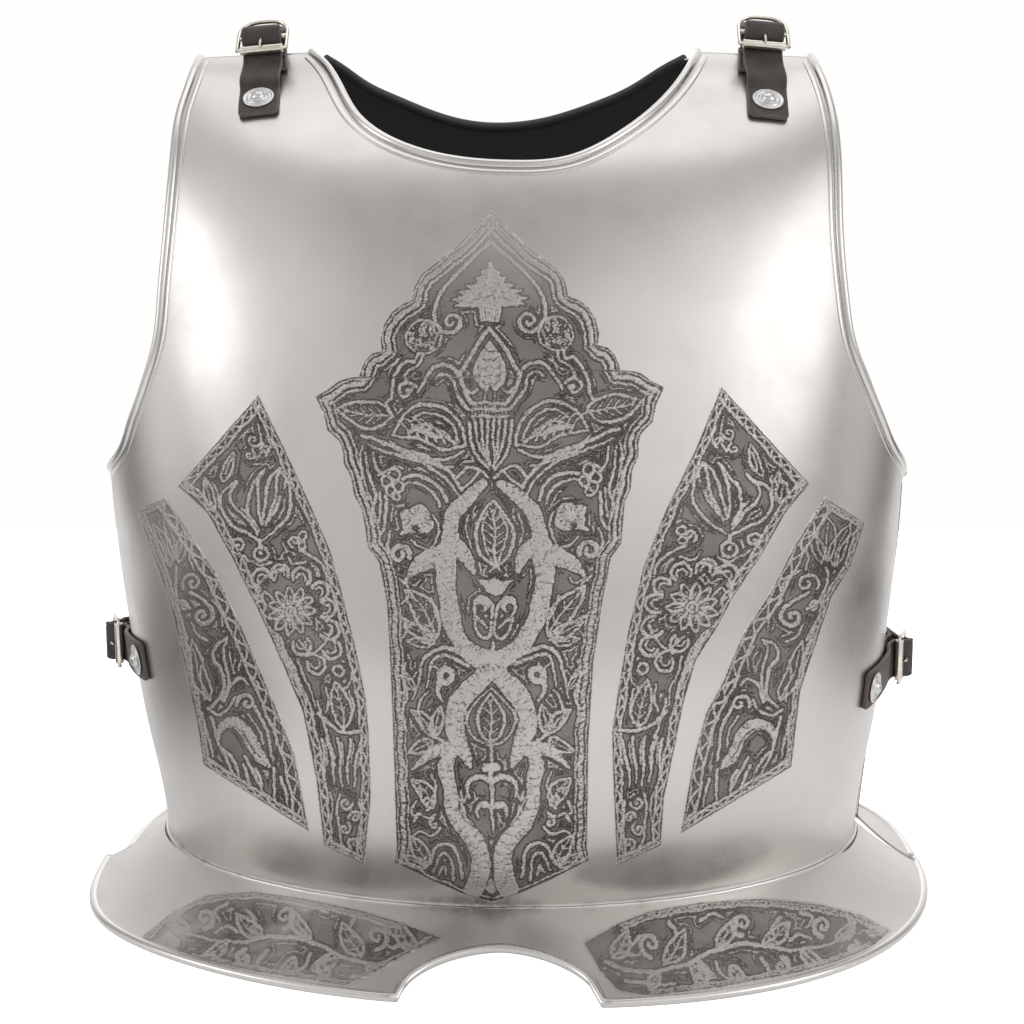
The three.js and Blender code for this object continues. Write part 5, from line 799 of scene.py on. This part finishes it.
M_ETCH_WORN = etched_material('steel_etched_worn', 0.8)
M_ETCH_SKIRT = etched_material('steel_etched_skirt', 0.35)

hh = np.array(HEAD, float); A_R = np.stack(a_side(1)(hh[:, 0], hh[:, 1]), 1); A_L = np.stack(a_side(-1)(hh[:, 0], hh[:, 1]), 1); A_OUT = np.concatenate([A_L, A_R[::-1]])
etched_grid('etching_head', A_L, A_R, 211.5, 560.0, 262, 262, draw_centre, A_OUT)
etched_grid('etching_shaft', A_L, A_R, 560.0, 901.0, 300, 190, draw_centre, A_OUT)
for tag, P, mp, seed in (('left', B_LEFT, same, 2), ('right', B_RIGHT, across(B_LEFT, B_RIGHT), 3)):
    etched_grid('etching_inner_' + tag, P['left'], P['right'], P['left'][0][1] - 1, P['left'][-1][1] + 1, 340, 92, lambda x, y: draw_inner(x, y, mp, P, seed), np.array(P['left'] + P['right'][::-1], float))
for tag, P, mp, seed in (('left', C_LEFT, same, 4), ('right', C_RIGHT, across(C_LEFT, C_RIGHT), 5)):
    etched_grid('etching_outer_' + tag, P['left'], P['right'], P['left'][0][1] - 1, P['left'][-1][1] + 1, 250, 84, lambda x, y: draw_outer(x, y, mp, P, seed), np.array(P['left'] + P['right'][::-1], float))

def etched_skirt(name, outline, right, j0, j1, nc, nr):
    """a panel on the flange: a finer copy of the flange's own grid between the columns j0 and j1"""
    J = np.linspace(j0, j1, nc); I = np.linspace(0.06, 0.97, nr) * (FP_b.shape[0] - 1); G = np.stack([[np.interp(J, np.arange(FP_b.shape[1]), row[:, k]) for k in range(3)] for row in FP_b], 0)   # rows x 3 x nc
    P = np.stack([np.stack([np.interp(I, np.arange(FP_b.shape[0]), G[:, k, c]) for c in range(nc)], 1) for k in range(3)], -1)
    Nn = grid_normals(P); px = to_px(P + Nn * HALF); X, Y = px[..., 0], px[..., 1]
    F = echo(X, Y, draw_skirt(X.ravel(), Y.ravel(), outline, right).reshape(X.shape)); D = inside_distance(X, Y, outline)
    h = 0.03 + relief(F, D) * smooth01(D, -0.8, 1.5)
    return trimmed(name, (P + Nn * (HALF + h)[..., None]).reshape(-1, 3), kept(grid_faces(nr, nc, flip=False), D), (M_ETCH_SKIRT if right else M_ETCH_WORN,), {'f': F, 'd': D, 'worn': np.clip((0.2 if right else 0.3) + (0.45 * smooth01(X, 800, 905) + 0.25 * smooth01(-X, -640, -590) if right else 0.7 * smooth01(-X, -250, -140) + 0.35 * smooth01(-Y, -915, -895)), 0, 1)})
fpx = to_px(FP_b[9]); cols = lambda a, b: (int(np.argmin(np.abs(fpx[:, 0] - a))), int(np.argmin(np.abs(fpx[:, 0] - b))))
etched_skirt('etching_skirt_left', D_LEFT, False, *cols(118, 452), 300, 74)
etched_skirt('etching_skirt_right', D_RIGHT, True, *cols(572, 908), 300, 74)

# the black paint of the inside runs up over the rim behind the neck
def painted_rim():
    N = Nodes('rim_half_painted'); co = N.coord(); a = N.noise(co, 120.0, 3, 0.6); k = N.range(N.math('ADD', N.attr('inner'), N.math('MULTIPLY', N.math('SUBTRACT', a, 0.5), 0.5)), 0.40, 0.56, smooth=True)
    N.set(Base_Color=N.mix(k, N.mix(a, (0.50, 0.48, 0.46), (0.60, 0.58, 0.56)), (0.036, 0.035, 0.034)), Metallic=N.math('SUBTRACT', 1.0, k), Roughness=N.range(k, 0, 1, 0.28, 0.55)); return N.m
M_HALF = painted_rim()
for nm in ('back_throat_rim', 'back_arm_l_rim', 'back_arm_r_rim'):
    o = bpy.data.objects.get(nm)
    if o is None: continue
    me = o.data;  q = np.array([v.normal[:] for v in me.vertices])
    c = np.array([v.co[:] for v in me.vertices]); inw = -q[:, 1] * 1.1 + 0.45 * q[:, 2] * (nm == 'back_throat_rim') - (0.0 if nm == 'back_throat_rim' else 0.2)
    me.attributes.new('inner', 'FLOAT', 'POINT').data.foreach_set('value', np.clip(0.5 + inw, 0, 1).astype(np.float32)); me.materials.clear(); me.materials.append(M_HALF)

# ------------------------------------------------------------------ straps, buckles, rivets
FASTENINGS = [
 dict(name='shoulder_left', flank=False, s=0, across=-123.2, end=-38, rivet=-28.6, roller=(-7.5, 427.6), tilt=42, roll=8.5, backRivet=60, tail=43, safe=0, safeU=3.2, rise=0, step=0, lean=-0.07, slide=5.5),
 dict(name='shoulder_right', flank=False, s=0, across=127, end=-38, rivet=-28.6, roller=(-5, 429.6), tilt=42, roll=-8.5, backRivet=60, tail=43, safe=-2.5, safeU=-3.2, rise=0, step=0, lean=0.02, slide=3),
 dict(name='side_left', flank=True, s=-1, across=128, end=-66, rivet=-57.5, roller=(-11, 203.9), tilt=17, roll=0, backRivet=55, tail=40, safe=-5.5, safeU=0, rise=-5, step=6.6, lean=0, slide=0),
 dict(name='side_right', flank=True, s=1, across=115, end=-66, rivet=-57.5, roller=(-11, 203.2), tilt=17, roll=0, backRivet=60, tail=45, safe=-5.5, safeU=0, rise=2, step=0, lean=0, slide=0)]
BUCKLE_TIP = 17.8
seam_y = lambda k: PLATE_GAP / 2 if k['flank'] else 24.7
def place(k, y):
    """point and normal of the plate where the fastening's plane cuts it at the depth y"""
    pl = breast if y < seam_y(k) else back
    if k['flank']:
        v = float(pl.v_of_z(k['across'] + k['rise'] * (y + 60) / 60)); ys = float(pl.S['ys'](v)); a, b = k['s'] * math.pi / 2, 0.0
        for _ in range(40):
            m = (a + b) / 2
            if abs(float(pl.point(m, v)[1]) - ys) < abs(y - ys): a = m
            else: b = m
        return pl.point(a, v), pl.normal(a, v)
    a, b, x = float(pl.v_of_z(330)), pl.vmax, k['across'] + k['lean'] * (y - k['roller'][0])
    for _ in range(40):
        m = (a + b) / 2
        if (float(pl.point(float(pl.th_of_x(x, m)), m)[1]) - y) * pl.side > 0: a = m
        else: b = m
    th = float(pl.th_of_x(x, a)); return pl.point(th, a), pl.normal(th, a)
def across_at(k, n):
    side = np.array([0, 0, 1.0]) if k['flank'] else np.array([1.0, 0, 0]); t = unit(np.cross(side, n)); u = unit(np.cross(n, t)); return u * (np.sign(u @ side) or 1)
def buckle_frame(k):
    tl, r = math.radians(k['tilt']), math.radians(k['roll']); a = np.array([0, 1.0, 0]); b = np.array([k['s'], 0, 0.0]) if k['flank'] else np.array([0, 0, 1.0])
    Q = a * math.cos(tl) + b * math.sin(tl); U = np.array([0, 0, 1.0]) if k['flank'] else np.array([math.cos(r), 0, math.sin(r)]); U = unit(U - Q * (U @ Q)); M = unit(np.cross(Q, U)); M = M if M @ b > 0 else -M
    y, h = k['roller']; O = np.array([k['s'] * h, y, k['across'] + k['rise'] * (y + 60) / 60]) if k['flank'] else np.array([k['across'], y, h]); return O, Q, U, M
def catmull(P, sub=24):
    """centripetal Catmull-Rom through the rows of P (first three columns are the place)"""
    P = np.asarray(P, float); Q = np.concatenate([[2 * P[0] - P[1]], P, [2 * P[-1] - P[-2]]]); out = []
    for i in range(len(P) - 1):
        p = Q[i:i + 4]; t = np.concatenate([[0], np.cumsum(np.maximum(1e-4, np.linalg.norm(np.diff(p[:, :3], axis=0), axis=1)) ** 0.5)]); x = np.linspace(t[1], t[2], sub, endpoint=False)[:, None]
        L = lambda a, b, A, B: A * (t[b] - x) / (t[b] - t[a]) + B * (x - t[a]) / (t[b] - t[a])
        a1, a2, a3 = L(0, 1, p[0], p[1]), L(1, 2, p[1], p[2]), L(2, 3, p[2], p[3]); b1 = L(0, 2, a1, a2); b2 = L(1, 3, a2, a3); out.append(L(1, 2, b1, b2))
    return np.concatenate(out + [P[-1:]])
def stations(keys, step):
    D = catmull(np.array([np.concatenate(q) for q in keys])); L = np.concatenate([[0], np.cumsum(np.linalg.norm(np.diff(D[:, :3], axis=0), axis=1))]); n = max(6, int(round(L[-1] / step))); t = np.linspace(0, L[-1], n + 1)
    E = np.column_stack([np.interp(t, L, D[:, k]) for k in range(9)]); return E[:, :3], unit(E[:, 3:6]), unit(E[:, 6:9]), t

def leather_material():
    N = Nodes('strap_leather_brown'); co = N.coord(); u, l = N.attr('across'), N.attr('along')
    grain = N.n('TexVoronoi'); N.put(grain.inputs['Vector'], co); grain.inputs['Scale'].default_value = 1150.0; grain.feature = 'DISTANCE_TO_EDGE'
    g = grain.outputs['Distance']; blot = N.noise(co, 90.0, 4, 0.6); fine = N.noise(co, 1600.0, 3, 0.6); crease = N.noise(scaled(N, co, (400, 400, 400)), 1.0, 2, 0.6)
    col = N.mix(N.range(blot, 0.35, 0.68), (0.030, 0.0235, 0.0215), (0.062, 0.049, 0.043)); col = N.mix(N.range(fine, 0.58, 0.75, 0.0, 0.4), col, (0.105, 0.085, 0.072))
    edge = N.range(N.math('ADD', u, N.math('MULTIPLY', N.math('SUBTRACT', blot, 0.5), 0.10)), 0.90, 1.0, smooth=True); col = N.mix(N.math('MULTIPLY', edge, 0.6), col, (0.15, 0.125, 0.108))
    h = N.math('ADD', N.range(g, 0.0, 0.10, 0.0, 1.0, smooth=True), N.math('MULTIPLY', fine, 0.5))
    h = N.math('ADD', h, N.math('MULTIPLY', crease, 0.7))
    N.set(Base_Color=col, Metallic=0.0, Roughness=N.range(blot, 0.3, 0.7, 0.42, 0.60), Normal=N.bump(h, 0.42, 0.00025)); N.b.inputs['Specular IOR Level'].default_value = 0.45; return N.m
def nickel_material():
    N = Nodes('buckle_nickel_polished'); co = N.coord(); a = N.noise(co, 260.0, 4, 0.6); b = N.noise(co, 1500.0, 2, 0.6)
    col = N.mix(N.range(a, 0.38, 0.66), (0.80, 0.765, 0.69), (0.70, 0.655, 0.575)); col = N.mix(N.range(b, 0.62, 0.74, 0.0, 0.5), col, (0.36, 0.31, 0.25))
    N.set(Base_Color=col, Metallic=1.0, Roughness=N.range(a, 0.3, 0.7, 0.16, 0.30), Normal=N.bump(b, 0.12, 0.0002)); return N.m
def zinc_material():
    N = Nodes('rivet_zinc_dull'); co = N.coord(); a = N.noise(co, 420.0, 4, 0.65); b = N.noise(co, 1700.0, 2, 0.6)
    col = N.mix(N.range(a, 0.35, 0.7), (0.70, 0.70, 0.69), (0.56, 0.56, 0.555)); col = N.mix(N.range(b, 0.6, 0.75, 0.0, 0.45), col, (0.25, 0.245, 0.24))
    N.set(Base_Color=col, Metallic=1.0, Roughness=N.range(a, 0.3, 0.7, 0.24, 0.38), Normal=N.bump(N.math('ADD', a, b), 0.2, 0.0003)); return N.m
M_LEATHER, M_NICKEL, M_ZINC = leather_material(), nickel_material(), zinc_material()

def strap_piece(name, P, U, Nn, width, dx, length, rep, holes=()):
    """leather strap: rounded edges, a creased line inside each edge, a section at every station"""
    T = unit(np.gradient(P, axis=0)); U = unit(U - T * (U * T).sum(1)[:, None]); W = np.cross(T, U); W *= np.sign((W * Nn).sum(1))[:, None]
    h = STRAP_T / 2; sec = []                       # section: across as a share of the half width, height in mm
    for x, y in ((-0.86, h), (-0.84, h - 0.02), (-0.80, h - 0.26), (-0.76, h - 0.02), (-0.70, h), (-0.35, h + 0.03), (0, h + 0.04), (0.35, h + 0.03), (0.70, h), (0.76, h - 0.02), (0.80, h - 0.26), (0.84, h - 0.02), (0.86, h)): sec.append((x, y))
    for a in np.linspace(80, -80, 7): sec.append((0.925 + 0.075 * math.cos(math.radians(a)), h * math.sin(math.radians(a))))
    sec += [(x, -h) for x in (0.8, 0.3, -0.3, -0.8)]
    for a in np.linspace(-80, 80, 7): sec.append((-0.925 - 0.075 * math.cos(math.radians(a)), h * math.sin(math.radians(a))))
    sec = np.array(sec); rnd = np.random.RandomState(len(name)); wob = np.convolve(rnd.normal(0, 1, len(P) + 20), np.ones(21) / 21, 'valid')[:len(P)] * 0.35
    x = sec[None, :, 0] * (np.asarray(width) / 2)[:, None] + np.asarray(dx)[:, None] + wob[:, None]; y = np.broadcast_to(sec[None, :, 1], x.shape)
    V = P[:, None] + U[:, None] * x[..., None] + W[:, None] * y[..., None]; R, C = V.shape[:2]
    Vc = V.reshape(-1, 3); F = grid_faces(R, C, wrap=True); j = np.arange(C); n = len(Vc); caps = []
    c0, c1 = V[0].mean(0), V[-1].mean(0); Vc = np.concatenate([Vc, [c0 - T[0] * 0.25, c1 + T[-1] * 0.25]])
    tri = np.concatenate([np.stack([np.full(C, n), (j + 1) % C, j], 1), np.stack([np.full(C, n + 1), (R - 1) * C + j, (R - 1) * C + (j + 1) % C], 1)])
    me = bpy.data.meshes.new(name); me.from_pydata([tuple(q) for q in (Vc + CENTRE) * MM], [], [tuple(f) for f in F] + [tuple(f) for f in tri]); me.materials.append(M_LEATHER)
    ac = np.concatenate([np.broadcast_to(np.abs(sec[None, :, 0]), (R, C)).ravel(), [1, 1]]); al = np.concatenate([np.broadcast_to((length[:, None] / 10), (R, C)).ravel(), [0, 0]])
    end = np.minimum(length, length[-1] - length); ac[:R * C] = np.maximum(ac[:R * C], np.repeat(np.clip(1 - end / 7.0, 0, 1), C))
    for key, val in (('across', ac), ('along', al)): me.attributes.new(key, 'FLOAT', 'POINT').data.foreach_set('value', val.astype(np.float32))
    import bmesh
    bm = bmesh.new(); bm.from_mesh(me); bmesh.ops.recalc_face_normals(bm, faces=bm.faces); bm.to_mesh(me); bm.free(); me.polygons.foreach_set('use_smooth', np.full(len(me.polygons), True)); me.update()
    o = bpy.data.objects.new(name, me); COL.objects.link(o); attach(o, 'root'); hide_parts(*rep); return o

def lathe_piece(name, prof, c, axis, mats, sides=56, slot='rivet_zinc', rep=()):
    """profile of (radius, height) turned round the axis, closed on the axis at both ends"""
    prof = np.asarray(prof, float); z = unit(np.asarray(axis, float)); x = unit(np.cross(z, [0.3, 0.5, 0.81])); y = np.cross(z, x); a = 2 * math.pi * np.arange(sides) / sides
    r = np.maximum(prof[:, 0], 1e-3); rings = np.asarray(c)[None, None] + z * prof[:, 1][:, None, None] + r[:, None, None] * (np.cos(a)[None, :, None] * x + np.sin(a)[None, :, None] * y)
    return sweep_object(name, rings, mats, slot=slot, rep=rep)
def wire_rings(P, r, sides=14, up=None):
    P = np.asarray(P, float); T = unit(np.gradient(P, axis=0)); n = np.array([0, 0, 1.0]) if abs(T[0][2]) < 0.8 else np.array([1.0, 0, 0]); rings = []; a = 2 * math.pi * np.arange(sides) / sides; r = np.broadcast_to(r, len(P))
    for i, p in enumerate(P):
        n = unit(n - T[i] * (n @ T[i])); b = np.cross(T[i], n); rings.append(p + r[i] * (np.cos(a)[:, None] * n + np.sin(a)[:, None] * b))
    return np.stack(rings)
def joined(name, parts, mats, rep):
    """several closed tubes as one piece"""
    V, F, base = [], [], 0
    for rings in parts:
        R, C = rings.shape[:2]; V += [rings.reshape(-1, 3), rings[0].mean(0)[None], rings[-1].mean(0)[None]]; j = np.arange(C); n = R * C
        F += [tuple(f) for f in grid_faces(R, C, wrap=True, base=base)] + [(base + n, base + int((q + 1) % C), base + int(q)) for q in j] + [(base + n + 1, base + (R - 1) * C + int(q), base + (R - 1) * C + int((q + 1) % C)) for q in j]; base += n + 2
    me = bpy.data.meshes.new(name); me.from_pydata([tuple(q) for q in (np.concatenate(V) + CENTRE) * MM], [], F); [me.materials.append(m) for m in mats]
    import bmesh
    bm = bmesh.new(); bm.from_mesh(me); bmesh.ops.recalc_face_normals(bm, faces=bm.faces); bm.to_mesh(me); bm.free(); me.polygons.foreach_set('use_smooth', np.full(len(me.polygons), True)); me.update()
    o = bpy.data.objects.new(name, me); COL.objects.link(o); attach(o, 'root'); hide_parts(*rep); return o

for k in FASTENINGS:
    O, Q, U, Mv = buckle_frame(k); bar = WIRE / 2; nm = k['name']; at = lambda u, q, m: O + U * u + Q * q + Mv * m
    def lying(y, h):
        p, n = place(k, y); return (p + n * h, across_at(k, n), n)
    inB = lambda q, m: (at(0, q, m), U, Mv)
    turn = lambda q0, r, deg: inB(q0 + r * math.cos(math.radians(deg)), r * math.sin(math.radians(deg)))
    down = ROLLER_D / 2 + STRAP_T / 2 + FIT + 0.2; over = bar + FIT + 1.7 + STRAP_T / 2 + FIT + 0.15; under = -(bar + STRAP_T / 2 + FIT + 0.15); B = PITCH + 11.9; lift = STRAP_T + FIT + 0.5
    keys = [lying(k['end'], LIE), lying((k['end'] + k['rivet']) / 2, LIE), lying(k['rivet'], LIE), lying(k['rivet'] + 8.5, LIE + 0.1)]
    keys += [lying(-38, LIE + 0.3), lying(-26, LIE + 1.2)] if k['flank'] else [lying(-12.5 - k['slide'], LIE + lift)]
    keys += [inB(-5.5, -down - 0.9), turn(0, down, -90), turn(0, down, -50), turn(0, down, -8), turn(PITCH, over, 158), turn(PITCH, over, 125), turn(PITCH, over, 90), turn(PITCH, over, 55), turn(PITCH, over + 0.3, 24), inB(PITCH + 7.6, under), inB(B, under - 2.4)]
    if not k['flank']: keys.append(inB(B + 4.5, under - 8))
    keys += [lying(k['tail'] - 7, LIE + lift + 1.2), lying(k['tail'], LIE + lift + 0.8)]
    P, Us, Ns, t = stations(keys, 0.9)
    i0 = int(np.argmin(np.linalg.norm(P - at(0, PITCH, over), axis=1))); w = np.full(len(P), STRAP_W); q = np.arange(len(P)) >= i0
    w[q] = np.minimum(STRAP_W + (BUCKLE_TIP - STRAP_W) * np.clip((t[q] - t[i0]) / 4, 0, 1), STRAP_W + (7 - STRAP_W) * np.clip((t[q] - t[-1] + 7) / 7, 0, 1) ** 1.6)
    w[t < 2.2] -= (2.2 - t[t < 2.2]) * 1.1
    strap_piece(nm + '_front_leather', P, Us, Ns, w, 0 * t, t, (nm + '_front_strap',))
    st = k['step']; rk = [lying(k['backRivet'] + 12, LIE), lying(k['backRivet'], LIE), lying(k['backRivet'] - 11, LIE)]
    rk += [lying(30, LIE + 0.3), lying(18, LIE + 0.5 + 0.45 * st), lying(9, LIE + 0.9 + 0.9 * st), lying(5.2, LIE + 1.1 + st), lying(-0.5, LIE + 0.9)] if k['flank'] else [lying(36, LIE + 0.4), lying(27, LIE + 1.2), lying(21.5, LIE + 1), lying(12, LIE + 0.6), lying(2 - k['slide'], LIE + 0.4)]
    rk.append(lying(k['safe'] - k['slide'], LIE + 0.2)); P2, U2, N2, t2 = stations(rk, 0.9)
    du = k['safeU'] * np.maximum(0, (np.linspace(0, 1, len(P2)) - 0.5) / 0.5); w2 = np.full(len(P2), STRAP_W)
    strap_piece(nm + '_back_leather', P2, U2, N2, w2, du, t2, (nm + '_back_strap',))
    # loops of the back strap round the middle bar
    leg = P2[int(np.argmin(np.linalg.norm(P2 - at(0, PITCH + 1, -9), axis=1)))] - at(0, PITCH, 0); lq, lm = leg @ Q, leg @ Mv; ang = math.atan2(lm, lq); ro, ri = bar + FIT + 1.7, bar + FIT; rm = (ro + ri) / 2; L = math.hypot(lq, lm)
    for tag, u0, u1 in (('a', -(BUCKLE_IN / 2 - 2.6), -2.4), ('b', 2.4, BUCKLE_IN / 2 - 2.6)):
        path = [(L * math.cos(ang) , L * math.sin(ang))] + [(rm * 1.9 * math.cos(ang), rm * 1.9 * math.sin(ang))] + [(rm * math.cos(ang + f), rm * math.sin(ang + f)) for f in np.linspace(0.5, 2 * math.pi - 0.5, 22)] + [(rm * 1.6 * math.cos(ang), rm * 1.6 * math.sin(ang))]
        path = np.array(path); T2 = unit(np.gradient(path, axis=0)); N2d = np.column_stack([-T2[:, 1], T2[:, 0]]); th = (ro - ri) / 2; um = (u0 + u1) / 2; hw2 = (u1 - u0) / 2
        sec = [(hw2 * x, th * y) for x, y in ((-1, -0.6), (-0.9, -1), (0.9, -1), (1, -0.6), (1, 0.6), (0.9, 1), (-0.9, 1), (-1, 0.6))]
        rings = np.stack([[O + Q * (PITCH + p[0] + n2[0] * y) + Mv * (p[1] + n2[1] * y) + U * (um + x) for x, y in sec] for p, n2 in zip(path, N2d)])
        sweep_object(f'{nm}_loop_{tag}', rings, (M_LEATHER,), slot='strap_leather')
    # buckle, roller, prong
    hw = BUCKLE_IN / 2 + bar; cq, sq = PITCH + 0.4, 2.8
    pts = [(-hw, 0.0), (-hw, 3.0), (-hw, 6.0)] + [(hw * math.copysign(abs(math.cos(a)) ** (2 / sq), math.cos(a)), cq + 11.5 * max(0, math.sin(a)) ** (2 / sq)) for a in np.linspace(math.pi, 0, 49)] + [(hw, 6.0), (hw, 3.0), (hw, 0.0)]
    bow = np.array([at(u, q, 0) for u, q in pts]); bow = catmull(bow, 3)
    tube_bar = lambda q, e: np.array([at(u, q, 0) for u in np.linspace(-hw - e, hw + e, 9)])
    ends = lambda P, r: np.concatenate([[0.35], np.full(len(P) - 2, 1.0), [0.35]]) * r
    joined(nm + '_buckle_frame', [wire_rings(bow, bar, 16), wire_rings(tube_bar(0, 0.6), ends(tube_bar(0, 0.6), bar), 16), wire_rings(tube_bar(PITCH, 0), bar, 14)], (M_NICKEL,), (nm + '_buckle',))
    rl, rr, bore = BUCKLE_IN / 2 - 0.5, ROLLER_D / 2, bar + 0.3
    prof = [(bore, -rl + 0.3), (bore + 0.2, -rl), (rr - 0.3, -rl), (rr - 0.05, -rl + 0.25), (rr, -rl + 0.6), (rr + 0.02, 0), (rr, rl - 0.6), (rr - 0.05, rl - 0.25), (rr - 0.3, rl), (bore + 0.2, rl), (bore, rl - 0.3)]
    a = 2 * math.pi * np.arange(32) / 32; rings = np.stack([[O + U * h + (Q * math.cos(f) + Mv * math.sin(f)) * r for f in a] for r, h in prof + [prof[0]]])
    o = mesh_object(nm + '_roller_tube', rings.reshape(-1, 3), grid_faces(len(prof) + 1, 32, wrap=True), (M_NICKEL,), rep=(nm + '_roller',))
    er = bar + FIT + 0.9; eye = [at(0, PITCH + er * math.cos(f), er * math.sin(f)) for f in np.linspace(-2.1, 2.0, 16)] + [at(0, 5.0, 2.75), at(0, 2.6, rr + 1.0), at(0, 0.6, rr + 1.3), at(0, -1.8, rr + 0.95)]
    eye = catmull(np.array(eye), 4); r = np.full(len(eye), 0.9); r[-6:] *= np.linspace(1, 0.45, 6); r[0] *= 0.5
    joined(nm + '_prong_wire', [wire_rings(eye, r, 12)], (M_NICKEL,), (nm + '_prong',))
    # rivets: ringed washer and domed head
    for tag, y in (('front', k['rivet']), ('back', k['backRivet'])):
        p, n = place(k, y); t0 = LIE + STRAP_T / 2 + FIT * 0.3
        prof = [(0, t0), (7.4, t0), (7.75, t0 + 0.15), (7.8, t0 + 0.45), (7.6, t0 + 0.8), (7.2, t0 + 0.95), (6.7, t0 + 0.85), (6.35, t0 + 0.55), (5.9, t0 + 0.55), (5.6, t0 + 0.95), (5.2, t0 + 1.15), (4.8, t0 + 1.0), (4.5, t0 + 0.7), (3.9, t0 + 0.68), (3.6, t0 + 0.9),
                (3.45, t0 + 1.5), (3.1, t0 + 2.15), (2.5, t0 + 2.7), (1.7, t0 + 3.1), (0.9, t0 + 3.3), (0, t0 + 3.35)]
        o = lathe_piece(f'{nm}_{tag}_rivet_head', prof, p, n, (M_ZINC,), 56, rep=(f'{nm}_{tag}_rivet',))
        b0 = -HALF - 0.3; lathe_piece(f'{nm}_{tag}_rivet_burr', [(0, b0 - 1.7), (2.6, b0 - 1.6), (3.8, b0 - 1.1), (4.2, b0 - 0.5), (4.2, b0), (1.8, b0 + 0.02), (0, b0 + 0.02)], p, n, (M_ZINC,), 32)

# ------------------------------------------------------------------ floor, light
def floor():
    me = bpy.data.meshes.new('floor'); s = 0.95
    me.from_pydata([(-s, -s, 0), (s, -s, 0), (s, s, 0), (-s, s, 0)], [], [(0, 1, 2, 3)]); o = bpy.data.objects.new('floor', me); COL.objects.link(o)
    # white to the eye; what the steel sees of it is dimmer beyond each side of the piece
    N = Nodes('floor_white'); lp = N.n('LightPath'); co = N.coord(); shade = None
    for c, r0, r1 in (((-0.66, -0.04, 0), 0.16, 0.50), ((0.76, 0.20, 0), 0.14, 0.42)):
        q = N.n('VectorMath'); q.operation = 'DISTANCE'; N.put(q.inputs[0], co); q.inputs[1].default_value = c; t = N.range(q.outputs['Value'], r1, r0, 0.0, 1.0, smooth=True); shade = t if shade is None else N.math('MAXIMUM', shade, t)
    N.set(Base_Color=N.mix(shade, (0.9, 0.9, 0.9), (0.16, 0.16, 0.16)), Roughness=0.9); own = N.math('MULTIPLY', N.math('SUBTRACT', 1.0, shade), 0.20)
    N.b.inputs['Emission Color'].default_value = (1, 1, 1, 1); N.put(N.b.inputs['Emission Strength'], N.math('ADD', N.math('MULTIPLY', lp.outputs['Is Camera Ray'], 1.0), own)); me.materials.append(N.m)
floor()
def area(name, loc, target, size, power, col=(1, 1, 1), size_y=None):
    d = bpy.data.lights.new(name, 'AREA'); d.energy = power; d.color = col; d.shape = 'RECTANGLE'; d.size = size; d.size_y = size_y or size
    o = bpy.data.objects.new(name, d); COL.objects.link(o); o.location = loc
    o.rotation_euler = (Vector(target) - Vector(loc)).to_track_quat('-Z', 'Y').to_euler(); return o
area('overhead', (0, 0.7, 2.6), (0, 0, 0.2), 2.0, 9)
# a soft studio round the piece: a pale room with a softbox at each side, dimmer overhead and in line with the sides
world = bpy.data.worlds.new('studio'); bpy.context.scene.world = world; world.use_nodes = True; wt = world.node_tree; bg = wt.nodes['Background']
def wn(kind, **kw):
    n = wt.nodes.new('ShaderNode' + kind)
    for k, v in kw.items(): setattr(n, k, v)
    return n
def wmath(op, a, b=None):
    n = wn('Math', operation=op)
    for i, q in enumerate((a, b)):
        if q is None: continue
        if isinstance(q, (int, float)): n.inputs[i].default_value = q
        else: wt.links.new(q, n.inputs[i])
    return n.outputs[0]
direction = wn('TexCoord').outputs['Generated']
def blob(el, az, r0, r1, power):
    """light (or shade) round the direction el, az, full inside r0 degrees and gone at r1"""
    e, a = math.radians(el), math.radians(az); n = wn('VectorMath', operation='DOT_PRODUCT'); wt.links.new(direction, n.inputs[0]); n.inputs[1].default_value = (math.cos(e) * math.sin(a), -math.cos(e) * math.cos(a), math.sin(e))
    m = wn('MapRange', interpolation_type='SMOOTHSTEP'); wt.links.new(n.outputs['Value'], m.inputs['Value']); m.inputs['From Min'].default_value = math.cos(math.radians(r1)); m.inputs['From Max'].default_value = math.cos(math.radians(r0)); m.inputs['To Max'].default_value = power; return m.outputs[0]
cloud = wn('TexNoise'); wt.links.new(direction, cloud.inputs['Vector']); cloud.inputs['Scale'].default_value = 2.6; cloud.inputs['Detail'].default_value = 3.0
level = wmath('ADD', 0.27, wmath('MULTIPLY', cloud.outputs['Factor' if 'Factor' in cloud.outputs else 'Fac'], 0.46))
for args in ((23, -71, 3, 19, 2.0), (26, 66, 6, 25, 1.8), (27, -50, 6, 42, 0.26), (42, -44, 4, 22, 0.14), (27, 38, 6, 44, 0.33), (42, 27, 5, 24, 0.28), (26, 31, 4, 18, 0.16), (76, -2, 6, 34, -0.15), (64, 85, 5, 35, 0.06), (64, -95, 5, 35, 0.16), (58, -148, 5, 26, -0.24), (74, 180, 5, 46, 0.36), (14, -165, 10, 40, 0.55), (14, 165, 10, 40, 0.55), (-13, -108, 6, 24, -0.42), (-13, 118, 6, 24, -0.36), (3, -99, 4, 20, 0.62), (2, 104, 4, 20, 0.44), (-24, 0, 20, 60, 0.16)): level = wmath('ADD', level, blob(*args))
level = wmath('MAXIMUM', level, 0.12)
lp = wn('LightPath'); mix = wmath('ADD', wmath('MULTIPLY', lp.outputs['Is Camera Ray'], 1.0), wmath('MULTIPLY', wmath('SUBTRACT', 1.0, lp.outputs['Is Camera Ray']), level))
wt.links.new(mix, bg.inputs['Strength']); bg.inputs['Color'].default_value = (1.0, 0.995, 0.99, 1)
bpy.context.scene.view_settings.view_transform = 'Standard'
